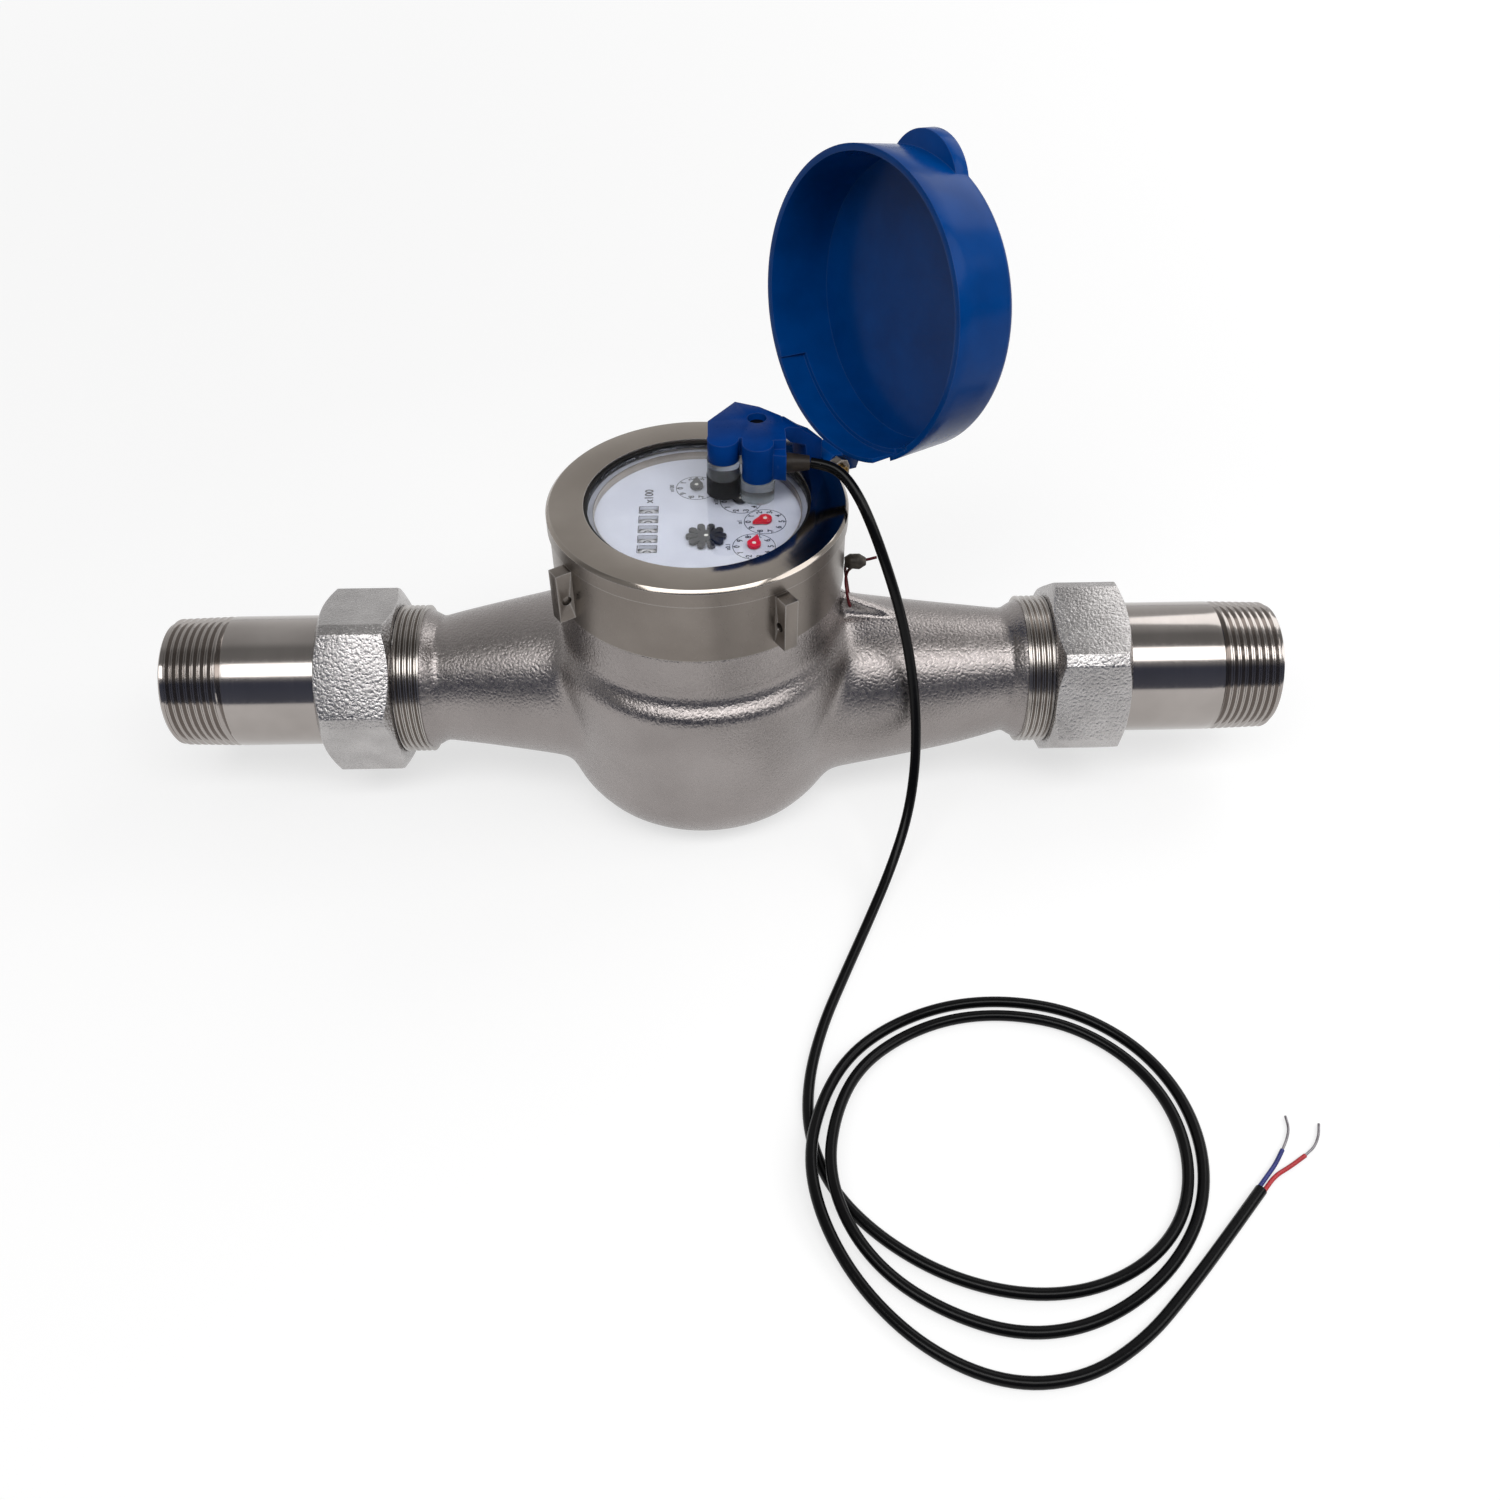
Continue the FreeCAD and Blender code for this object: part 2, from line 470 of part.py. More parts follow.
def fill_sheet():
    """Write the driving sizes into the sheet, one named cell for each."""
    for row, (alias, value, meaning) in enumerate(SIZES, start=1):
        sheet.set(f"A{row}", meaning)
        sheet.set(f"B{row}", str(value))
        sheet.setAlias(f"B{row}", alias)
    doc.recompute()


def bind(text):
    """Point every size name in an expression at its cell, with the derived names written out."""
    def swap(word):
        name = word[0]
        if name in DERIVED:
            return f"({bind(DERIVED[name])})"
        return f"Sizes.{name}" if name in NAMES else name
    return WORD.sub(swap, str(text))


def number(text):
    """Work an expression out as a plain number."""
    return float(sheet.evalExpression(bind(text)))


def new_body(label):
    """Start a sub-part under its own name."""
    body = doc.addObject("PartDesign::Body", label)
    body.Label = label
    PARTS.append(body)
    return body


def share_node(label, bodies):
    """Keep like pieces together under one name."""
    group = doc.addObject("Part::Compound", label)
    group.Label = label
    group.Links = bodies
    for body in bodies:
        PARTS.remove(body)
    PARTS.append(group)


def origin_item(body, role):
    """Find one of a body's own origin planes or axes."""
    return next(item for item in body.Origin.OriginFeatures if item.Role == role)


def new_sketch(body, plane="XY_Plane", lift="0"):
    """Lay a sketch on one of the body's origin planes, lifted along the plane's normal."""
    sketch = body.newObject("Sketcher::SketchObject", "sketch")
    sketch.AttachmentSupport = [(origin_item(body, plane), "")]
    sketch.MapMode = "FlatFace"
    sketch.setExpression("AttachmentOffset.Base.z", bind(lift))
    return sketch


def fix_point(sketch, shape, point, x, y):
    """Hold a point of a sketch at a place given by two expressions."""
    for kind, text in (("DistanceX", x), ("DistanceY", y)):
        rule = sketch.addConstraint(Sketcher.Constraint(kind, -1, 1, shape, point, number(text)))
        sketch.setExpression(f"Constraints[{rule}]", bind(text))


def outline(body, points, plane="XY_Plane", lift="0"):
    """Draw a closed outline through corners given as pairs of expressions."""
    sketch = new_sketch(body, plane, lift)
    corners = [VECTOR(number(x), number(y), 0) for x, y in points]
    count = len(points)
    for index, corner in enumerate(corners):
        sketch.addGeometry(Part.LineSegment(corner, corners[(index + 1) % count]), False)
    for index in range(count):
        sketch.addConstraint(Sketcher.Constraint("Coincident", index, 2, (index + 1) % count, 1))
    for index, (x, y) in enumerate(points):
        fix_point(sketch, index, 1, x, y)
    return sketch


def disc(body, radius, plane="XY_Plane", lift="0", x="0", y="0"):
    """Draw a circle."""
    sketch = new_sketch(body, plane, lift)
    add_circle(sketch, radius, x, y)
    return sketch


def add_circle(sketch, radius, x, y):
    """Add a circle to a sketch."""
    centre = VECTOR(number(x), number(y), 0)
    index = sketch.addGeometry(Part.Circle(centre, UP, number(radius)), False)
    fix_point(sketch, index, 3, x, y)
    rule = sketch.addConstraint(Sketcher.Constraint("Radius", index, number(radius)))
    sketch.setExpression(f"Constraints[{rule}]", bind(radius))


def box_points(x_low, x_high, y_low, y_high):
    """Corners of an upright rectangle."""
    return [(x_low, y_low), (x_high, y_low), (x_high, y_high), (x_low, y_high)]


def feature(body, kind, sketch):
    """Add a feature made from a sketch."""
    item = body.newObject(f"PartDesign::{kind}", kind.lower())
    item.Profile = sketch
    sketch.Visibility = False
    return item


def pad(body, sketch, length):
    """Raise a sketch along its plane's normal."""
    item = feature(body, "Pad", sketch)
    item.setExpression("Length", bind(length))
    return item


def pocket(body, sketch, length, forward=False):
    """Cut a sketch against its plane's normal, or along it."""
    item = feature(body, "Pocket", sketch)
    item.setExpression("Length", bind(length))
    item.Reversed = forward
    return item


def turn(body, points, kind="Revolution", plane="XZ_Plane"):
    """Revolve a radius and height outline about the body's Z axis, as solid or as a groove."""
    sketch = outline(body, points, plane)
    item = feature(body, kind, sketch)
    item.ReferenceAxis = (sketch, ["V_Axis"])
    item.Angle = 360
    return item


def turned(label, points):
    """Make a piece that is one turned profile."""
    body = new_body(label)
    turn(body, points)
    return body


def ring_points(inner, outer, low, high):
    """Radius and height outline of a plain ring."""
    return box_points(inner, outer, low, high)


def loft(body, kind, sections):
    """Blend through circles along X, each given as place, height and radius."""
    ordered = sorted(sections, key=lambda section: number(section[0]))
    circles = [disc(body, radius, "YZ_Plane", place, "0", height) for place, height, radius in ordered]
    item = feature(body, kind, circles[0])
    item.Sections = circles[1:]
    return item


def repeat(body, items, count, angle=360):
    """Repeat features round the body's Z axis."""
    item = body.newObject("PartDesign::PolarPattern", "repeat")
    item.Originals = items
    item.Axis = (origin_item(body, "Z_Axis"), [""])
    item.Angle = angle
    item.setExpression("Occurrences", bind(count))
    body.Tip = item
    return item


def rim(radius, height):
    """Test for a circular edge of that radius, level and centred on the Z axis at that height."""
    def matches(edge):
        curve = edge.Curve
        if not isinstance(curve, Part.Circle):
            return False
        off = max(abs(curve.Radius - number(radius)), abs(curve.Center.z - number(height)))
        return off < TOLERANCE
    return matches


def round_edges(body, base, radius, *tests):
    """Fillet the edges of a feature that meet any of the tests."""
    doc.recompute()
    names = []
    for index, edge in enumerate(base.Shape.Edges, start=1):
        if any(test(edge) for test in tests):
            names.append(f"Edge{index}")
    item = body.newObject("PartDesign::Fillet", "fillet")
    item.Base = (base, names)
    item.setExpression("Radius", bind(radius))
    return item


def place(body, x="0", y="0", z="0", axis=UP, angle="0"):
    """Put a sub-part in its place."""
    body.Placement = FreeCAD.Placement(VECTOR(0, 0, 0), FreeCAD.Rotation(axis, number(angle)))
    for name, text in (("x", x), ("y", y), ("z", z)):
        body.setExpression(f"Placement.Base.{name}", bind(text))


def along_pipe(body, side, start):
    """Turn a piece's Z axis outwards along the pipe, with its zero at a distance from the bowl axis."""
    place(body, f"{side} * ({start})", "0", "pipe_axis", VECTOR(0, 1, 0), f"{side} * 90")


def build_meter_body():
    """Cast bowl with two flared pipe arms, neck thread, sealing web and flow passages."""
    body = new_body("meter_body")
    bowl = turn(body, [
        ("0", "0"), ("bowl_base", "0"), ("shoulder", "shoulder_height"), ("neck", "neck_base"),
        ("neck", "ring_base"), ("neck_thread", "ring_base"), ("neck_thread", "neck_top"), ("0", "neck_top"),
    ], "Revolution", "YZ_Plane")
    bowl = round_edges(body, bowl, "bowl_round", rim("bowl_base", "0"))
    turns = (rim("shoulder", "shoulder_height"), rim("neck", "neck_base"))
    round_edges(body, bowl, "shoulder_round", *turns)
    loft(body, "AdditiveLoft", [
        ("-outlet_flare", "pipe_axis", "waist"),
        ("-(outlet_flare - outlet_tip_back)", "pipe_axis + outlet_tip_rise", "waist + outlet_tip_swell"),
        ("-(outlet_flare - outlet_mid_back)", "pipe_axis + outlet_mid_rise", "waist + outlet_mid_swell"),
        ("-arm_root", "pipe_axis + outlet_root_rise", "waist + root_swell"),
    ])
    loft(body, "AdditiveLoft", [
        ("inlet_flare", "pipe_axis", "waist - flare_dip"),
        ("inlet_flare - inlet_tip_back", "pipe_axis + inlet_tip_rise", "waist + inlet_tip_swell"),
        ("inlet_flare - inlet_mid_back", "pipe_axis + inlet_mid_rise", "waist + inlet_mid_swell"),
        ("arm_root", "pipe_axis + inlet_root_rise", "waist + root_swell"),
    ])
    for side, end in (("-1", "outlet_thread"), ("1", "inlet_thread")):
        loft(body, "AdditiveLoft", [
            (f"{side} * ({end} - flare)", "pipe_axis", "waist - flare_dip"),
            (f"{side} * ({end} - flare_share * flare)", "pipe_axis", "waist + flare_swell"),
            (f"{side} * {end}", "pipe_axis", "body_thread - flare_drop"),
        ])
    for start in ("-outlet_reach", "inlet_thread"):
        pad(body, disc(body, "body_thread", "YZ_Plane", start, "0", "pipe_axis"), "body_thread_run")
    web_foot = "(pipe_axis + waist)"
    web = outline(body, [
        ("neck_thread", web_foot), ("web_reach", web_foot), ("web_reach", "web_tip"),
        ("neck + web_land", "web_top"), ("neck_thread", "web_top"),
    ], "XZ_Plane", "-web_thick / 2")
    add_circle(web, "wire_hole", "web_hole_at", "web_hole_height")
    pad(body, web, "web_thick")
    seat_under = "(seat_top - seat_thick)"
    corner = "(cos(45) * (bowl_round - bowl_floor))"
    mouth = f"neck_top + {PAST}"
    turn(body, [
        ("0", "bowl_floor"), ("bowl_base - bowl_round", "bowl_floor"),
        (f"bowl_base - bowl_round + {corner}", f"bowl_round - {corner}"), ("lower_bore", "bowl_round"),
        ("lower_bore", seat_under), ("seat_bore", seat_under),
        ("seat_bore", "seat_top"), ("upper_bore", "seat_top"), ("upper_bore", "plate_ledge"),
        ("neck_bore", "plate_ledge"), ("neck_bore", mouth), ("0", mouth),
    ], "Groove", "YZ_Plane")
    loft(body, "SubtractiveLoft", [
        (f"-(outlet_reach + {PAST})", "pipe_axis", "pipe_bore"),
        ("-outlet_flare", "pipe_axis", "pipe_bore - bore_step"),
        ("-(upper_bore - port_overlap)", "outlet_port_height", "outlet_port"),
    ])
    loft(body, "SubtractiveLoft", [
        (f"inlet_reach + {PAST}", "pipe_axis", "pipe_bore"),
        ("inlet_flare", "pipe_axis", "pipe_bore - bore_step"),
        ("lower_bore - port_overlap", "inlet_port_height", "inlet_port"),
    ])


def build_union(label, side, reach, turn_angle):
    """Tailpiece, flat gasket and union nut of one pipe end."""
    flange_base = f"({reach} + tail_gasket_thick)"
    flange_end = "tail_flange_thick"
    tail_end = "(tail_flange_thick + seat_clearance + nut_lip + tail_show)"
    thread_start = f"{tail_end} - tail_thread_run"
    tail = turned(f"{label}_tailpiece", [
        ("pipe_bore", "0"), ("tail_flange", "0"), ("tail_flange", flange_end), ("tail", flange_end),
        ("tail", thread_start), ("tail_thread", thread_start),
        ("tail_thread", f"{tail_end} - tail_chamfer"), ("tail_thread - tail_chamfer", tail_end),
        ("pipe_bore", tail_end),
    ])
    along_pipe(tail, side, flange_base)
    gasket = turned(f"{label}_gasket", ring_points("pipe_bore", "tail_flange", "0", "tail_gasket_thick"))
    along_pipe(gasket, side, reach)
    GASKETS.append(gasket)
    nut = new_body(f"{label}_nut")
    nut_end = f"({flange_base} + tail_flange_thick + seat_clearance + nut_lip)"
    spread = "atan((nut_corner / nut_flat - cos(30)) / sin(30))"
    corner = f"(nut_flat / cos({spread}))"
    hexagon = []
    for flat in range(FLATS):
        for edge in (-1, 1):
            angle = f"(({turn_angle} + {360 / FLATS * flat}) * 1 deg + {edge} * {spread})"
            hexagon.append((f"{corner} * sin({angle}) * -1 * {side}", f"{corner} * cos({angle}) * -1"))
    pad(nut, outline(nut, hexagon), "nut_run")
    beyond = f"(nut_corner + {PAST})"
    fall = f"({beyond} - nut_chamfer) * tan(nut_chamfer_slope)"
    for low, high in (("0", fall), ("nut_run", f"nut_run - {fall}")):
        turn(nut, [("nut_chamfer", low), (beyond, low), (beyond, high)], "Groove")
    bore = "(body_thread + thread_clearance)"
    lip = "(nut_run - nut_lip)"
    turn(nut, [
        ("0", f"-{PAST}"), (bore, f"-{PAST}"), (bore, lip), ("tail + slip_clearance", lip),
        ("tail + slip_clearance", f"nut_run + {PAST}"), ("0", f"nut_run + {PAST}"),
    ], "Groove")
    along_pipe(nut, side, f"{nut_end} - nut_run")


def build_cap_ring():
    """Screwed cap ring with its window, wrench lugs and hinge ears."""
    body = new_body("cap_ring")
    bore = "(neck_thread + thread_clearance)"
    turn(body, [
        (bore, "ring_base"), ("ring_skirt", "ring_base"), ("ring_skirt", "ring_step"),
        ("ring", "ring_step"), ("ring", "ring_top - ring_bevel"), ("ring - ring_bevel", "ring_top"),
        ("window", "ring_top"), ("window", "ring_under"), (bore, "ring_under"),
    ])
    half = "(lug_wide / 2)"
    foot = "(ring_step - lug_drop - lug_tall)"
    face = "(ring_skirt + lug_proud)"
    block = outline(body, box_points(f"-{half}", half, "neck + slip_clearance", face), "XY_Plane", foot)
    lug = pad(body, block, "lug_tall")
    hole_out = f"{face} - lug_hole_in"
    hole_up = f"{foot} + lug_hole_up"
    eye = disc(body, "lug_hole", "YZ_Plane", f"{half} + {PAST}", hole_out, hole_up)
    hole = pocket(body, eye, f"lug_wide + 2 * {PAST}")
    repeat(body, [lug, hole], "lugs", 180)
    inner = "(knuckle_wide / 2 + slip_clearance)"
    ear_low = "(ring_step - ear_drop)"
    ear_root = "(ring_skirt - ear_root)"
    cut = "(cos(45) * hinge_boss)"
    for start in (f"-({inner} + ear_thick)", inner):
        plate = outline(body, [
            (ear_root, ear_low), ("hinge_reach - ear_foot", ear_low),
            ("hinge_reach + hinge_boss", "ring_step"), ("hinge_reach + hinge_boss", "hinge_height"),
            (f"hinge_reach + {cut}", f"hinge_height + {cut}"),
            ("hinge_reach", "hinge_height + hinge_boss"), (f"hinge_reach - {cut}", f"hinge_height + {cut}"),
            (ear_root, "hinge_height"),
        ], "XZ_Plane", start)
        pad(body, plate, "ear_thick")
    outside = f"hinge_reach + hinge_boss + {PAST}"
    gap = outline(body, box_points("ring - knuckle_bite", outside, f"-{inner}", inner), "XY_Plane",
                  f"ring_top + {PAST}")
    pocket(body, gap, f"{PAST} + rim_tall + knuckle_room")
    reach = f"({inner} + ear_thick + {PAST})"
    eye = disc(body, "hinge_pin", "XZ_Plane", f"-{reach}", "hinge_reach", "hinge_height")
    pocket(body, eye, f"2 * {reach}", True)
    place(body, angle="hinge_turn")


def build_lid():
    """Moulded lid with knuckle, thumb tab and cable notch, standing open."""
    body = new_body("lid")
    shell = turn(body, [
        ("0", "lid_base"), ("lid_rim", "lid_base"), ("lid_crown", "lid_top"), ("0", "lid_top"),
    ])
    round_edges(body, shell, "lid_round", rim("lid_crown", "lid_top"))
    tab_under = "lid_top - lid_round + tab_rise - tab_thick"
    tab = disc(body, "tab_round", "XY_Plane", tab_under, "tab_round - tab_reach", "0")
    pad(body, tab, "tab_thick")
    inner_rim = "(lid_rim - lid_wall)"
    inner_crown = "(lid_crown - lid_wall)"
    root = f"({inner_crown} - {PAST})"
    flat = "(hinge_boss - knuckle_cut)"
    near = "(hinge_reach - hinge_boss)"
    far = "(hinge_reach + hinge_boss)"
    knuckle = outline(body, [
        (root, "lid_base + knuckle_tall"), (root, "lid_base + seat_clearance"),
        (near, "lid_base + seat_clearance"), (near, f"hinge_height - {flat}"),
        (f"hinge_reach - {flat}", "hinge_height - hinge_boss"),
        (f"hinge_reach + {flat}", "hinge_height - hinge_boss"), (far, f"hinge_height - {flat}"),
        (far, "lid_base + knuckle_back"),
    ], "XZ_Plane", "-knuckle_wide / 2")
    pad(body, knuckle, "knuckle_wide")
    below = f"lid_base - {PAST}"
    turn(body, [
        ("0", below), (inner_rim, below), (inner_rim, "lid_base"),
        (inner_crown, "lid_top - lid_wall"), ("0", "lid_top - lid_wall"),
    ], "Groove")
    step = f"({inner_rim} + step_deep)"
    recess = turn(body, ring_points(root, step, "lid_base", "lid_base + step_tall"), "Groove")
    recess.setExpression("Angle", bind("2 * step_half"))
    recess.Midplane = True
    reach = f"(knuckle_wide / 2 + {PAST})"
    eye = disc(body, "hinge_pin + pin_clearance", "XZ_Plane", f"-{reach}", "hinge_reach", "hinge_height")
    pocket(body, eye, f"2 * {reach}", True)
    across = "(notch_wide / 2)"
    slot = []
    for place_out, offset in ((root, f"-{across}"), (f"(lid_rim + {PAST})", f"-{across}"),
                              (f"(lid_rim + {PAST})", across), (root, across)):
        slot.append((f"{place_out} * cos(notch_turn) - ({offset}) * sin(notch_turn)",
                     f"{place_out} * sin(notch_turn) + ({offset}) * cos(notch_turn)"))
    pocket(body, outline(body, slot, "XY_Plane", "lid_base + notch_tall"), f"notch_tall + {PAST}")
    heading = FreeCAD.Rotation(UP, number("hinge_turn"))
    swing = FreeCAD.Rotation(VECTOR(0, 1, 0), number("lid_open"))
    pivot = VECTOR(number("hinge_reach"), 0, number("hinge_height"))
    opened = FreeCAD.Placement(pivot, swing) * FreeCAD.Placement(pivot * -1, FreeCAD.Rotation())
    body.Placement = FreeCAD.Placement(VECTOR(0, 0, 0), heading) * opened


def build_hinge_pin():
    """Plain hinge pin through ears and knuckle."""
    half = "(knuckle_wide / 2 + slip_clearance + ear_thick + pin_proud)"
    body = turned("hinge_pin", ring_points("0", "hinge_pin", f"-{half}", half))
    body.Placement.Rotation = (FreeCAD.Rotation(UP, number("hinge_turn"))
                               * FreeCAD.Rotation(VECTOR(1, 0, 0), 90))
    body.setExpression("Placement.Base.x", bind("hinge_reach * cos(hinge_turn)"))
    body.setExpression("Placement.Base.y", bind("hinge_reach * sin(hinge_turn)"))
    body.setExpression("Placement.Base.z", bind("hinge_height"))


def build_lens_and_case():
    """Lens, its gasket, the register case, the dial and the pressure plate with its sealing ring."""
    flange_top = "(lens_under + lens_flange_thick)"
    turned("lens", [
        ("0", "lens_top - lens_thick"), ("lens_disc - lens_skirt", "lens_top - lens_thick"),
        ("lens_disc - lens_skirt", "lens_under"),
        ("lens_flange", "lens_under"), ("lens_flange", flange_top), ("lens_disc", flange_top),
        ("lens_disc", "lens_top"), ("0", "lens_top"),
    ])
    turned("lens_gasket", [
        ("lens_disc", flange_top), ("lens_flange", flange_top), ("lens_flange", "ring_under"),
        ("window", "ring_under"), ("window", "ring_top - gasket_lip"),
        ("lens_disc", "ring_top - gasket_lip"),
    ])
    ledge = "(case_inside - dial_ledge)"
    turned("register_case", [
        ("0", "case_base"), ("case", "case_base"), ("case", "lens_under"), ("case_inside", "lens_under"),
        ("case_inside", "dial_under"), (ledge, "dial_under"), (ledge, "dial_under - ledge_tall"),
        ("case_inside", "dial_under - ledge_tall - dial_ledge"), ("case_inside", "case_floor"),
        ("0", "case_floor"),
    ])
    dial = new_body("dial_plate")
    pad(dial, disc(dial, "dial", "XY_Plane", "dial_under"), "dial_thick")
    for x, y in (("star_x", "star_y"), *POINTERS):
        pocket(dial, disc(dial, "arbor + arbor_clearance", "XY_Plane", "dial_top", x, y), "dial_thick")
    for index in range(WHEELS):
        middle = f"(count_first + {index} * count_pitch)"
        opening = box_points("count_x - window_wide / 2", "count_x + window_wide / 2",
                             f"{middle} - window_long / 2", f"{middle} + window_long / 2")
        pocket(dial, outline(dial, opening, "XY_Plane", "dial_top"), "dial_thick")
    groove = "(plate - 2 * ring_cord + ring_squeeze)"
    middle = "(plate_ledge + plate_thick / 2)"
    half = "(ring_cord + groove_grip)"
    turned("pressure_plate", [
        ("0", "case_base - plate_web"), ("plate_cup", "case_base - plate_web"),
        ("plate_cup", "plate_ledge"), ("plate", "plate_ledge"), ("plate", f"{middle} - {half}"),
        (groove, f"{middle} - {half}"), (groove, f"{middle} + {half}"), ("plate", f"{middle} + {half}"),
        ("plate", "case_base"), ("0", "case_base"),
    ])
    seal = doc.addObject("Part::Torus", "body_o_ring")
    seal.Label = "body_o_ring"
    seal.setExpression("Radius1", bind(f"{groove} + ring_cord"))
    seal.setExpression("Radius2", bind("ring_cord"))
    seal.setExpression("Placement.Base.z", bind(middle))
    PARTS.append(seal)


def build_measuring_unit():
    """Strainer, jet chamber with its cover, pivot, impeller and driving magnet."""
    inside = "(chamber - chamber_wall)"
    flange_top = "(seat_top + chamber_flange_thick)"
    chamber_floor = "(chamber_base + chamber_wall)"
    body = new_body("measuring_chamber")
    turn(body, [
        ("0", "chamber_base"), ("chamber", "chamber_base"), ("chamber", "seat_top"),
        ("chamber_flange", "seat_top"), ("chamber_flange", flange_top), ("chamber", flange_top),
        ("chamber", "chamber_top"), (inside, "chamber_top"), (inside, chamber_floor), ("0", chamber_floor),
    ])
    for base, slant in (("jet_low", "jet_offset"), ("jet_high", "-jet_offset")):
        slit = box_points("0", f"chamber + {PAST}", f"{slant} - jet_wide / 2", f"{slant} + jet_wide / 2")
        jet = outline(body, slit, "XY_Plane", f"{base} + jet_tall")
        repeat(body, [pocket(body, jet, "jet_tall")], "jets")
    pocket(body, disc(body, "pivot", "XY_Plane", f"{chamber_floor} + {PAST}"), f"chamber_wall + 2 * {PAST}")
    cover_top = "(chamber_top + cover_thick)"
    turned("chamber_cover", [
        ("spindle + spindle_clearance", "chamber_top"), ("chamber", "chamber_top"),
        ("chamber", "plate_ledge"), ("chamber - cover_rim", "plate_ledge"),
        ("chamber - cover_rim", cover_top), ("spindle + spindle_clearance", cover_top),
    ])
    strainer = new_body("strainer")
    foot_top = "(strainer_base + strainer_wall)"
    turn(strainer, [
        ("strainer - strainer_foot", "strainer_base"), ("strainer", "strainer_base"),
        ("strainer", "seat_top"), ("strainer - strainer_wall", "seat_top"),
        ("strainer - strainer_wall", foot_top), ("strainer - strainer_foot", foot_top),
    ])
    slit = box_points("0", f"strainer + {PAST}", "-slot_wide / 2", "slot_wide / 2")
    slot = outline(strainer, slit, "XY_Plane", "slot_low + slot_tall")
    repeat(strainer, [pocket(strainer, slot, "slot_tall")], "strainer_slots")
    base_top = f"({chamber_floor} + pivot_base_thick)"
    turned("impeller_pivot", [
        ("0", "chamber_base"), ("pivot", "chamber_base"), ("pivot", chamber_floor),
        ("pivot_base", chamber_floor), ("pivot_base", base_top), ("pivot", base_top),
        ("pivot", "pivot_tip - pivot_point"), ("0", "pivot_tip"),
    ])
    socket = "(pivot + spindle_clearance)"
    magnet_top = "(case_base - plate_web - magnet_gap)"
    magnet_base = f"({magnet_top} - magnet_thick)"
    impeller = new_body("impeller")
    turn(impeller, [
        (socket, "vane_base"), ("impeller_hub", "vane_base"), ("impeller_hub", "vane_top"),
        ("spindle", "vane_top + hub_taper"), ("spindle", magnet_top), ("0", magnet_top),
        ("0", "pivot_tip + pivot_play"), (socket, "pivot_tip - pivot_point + pivot_play"),
    ])
    root = "(impeller_hub - vane_thick / 2)"
    vane = outline(impeller, [
        (root, "vane_base"), ("impeller - vane_cut", "vane_base"), ("impeller", "vane_base + vane_cut"),
        ("impeller", "vane_top - vane_cut"), ("impeller - vane_cut", "vane_top"), (root, "vane_top"),
    ], "XZ_Plane", "-vane_thick / 2")
    repeat(impeller, [pad(impeller, vane, "vane_thick")], "vanes")
    turned("drive_magnet", ring_points("spindle", "magnet", magnet_base, magnet_top))


POINTERS = [
    ("unit_x", "unit_y"), ("ten_x", "ten_y"), ("hundred_x", "hundred_y"), ("thousand_x", "thousand_y"),
]
POINTER_TURNS = [75, 205, 150, 90]


def gear(body, module, teeth, phase, level):
    """Add a toothed wheel on the body's axis, with one tooth pointing at the phase angle."""
    low = f"(train_floor + gear_lift + {level} * gear_level)"
    pitch = f"({module} * {teeth} / 2)"
    pad(body, disc(body, f"{pitch} - {module}", "XY_Plane", low), "gear_thick")
    corners = []
    for reach, offset in TOOTH:
        radial = f"({pitch} + {reach} * {module})"
        across = f"({offset} * {module})"
        corners.append((f"{radial} * cos({phase}) - {across} * sin({phase})",
                        f"{radial} * sin({phase}) + {across} * cos({phase})"))
    tooth = pad(body, outline(body, corners, "XY_Plane", low), "gear_thick")
    repeat(body, [tooth], teeth)


def spacing(a, b):
    """Distance and direction from one train place to the next."""
    across = f"({b[0]} - ({a[0]}))"
    along = f"({b[1]} - ({a[1]}))"
    return f"sqrt({across} ^ 2 + {along} ^ 2)", f"atan2({along}; {across})"


def new_arbor(label, base, top):
    """Start a train arbor with its spindle."""
    body = new_body(label)
    pad(body, disc(body, "arbor", "XY_Plane", base), f"{top} - {base}")
    return body


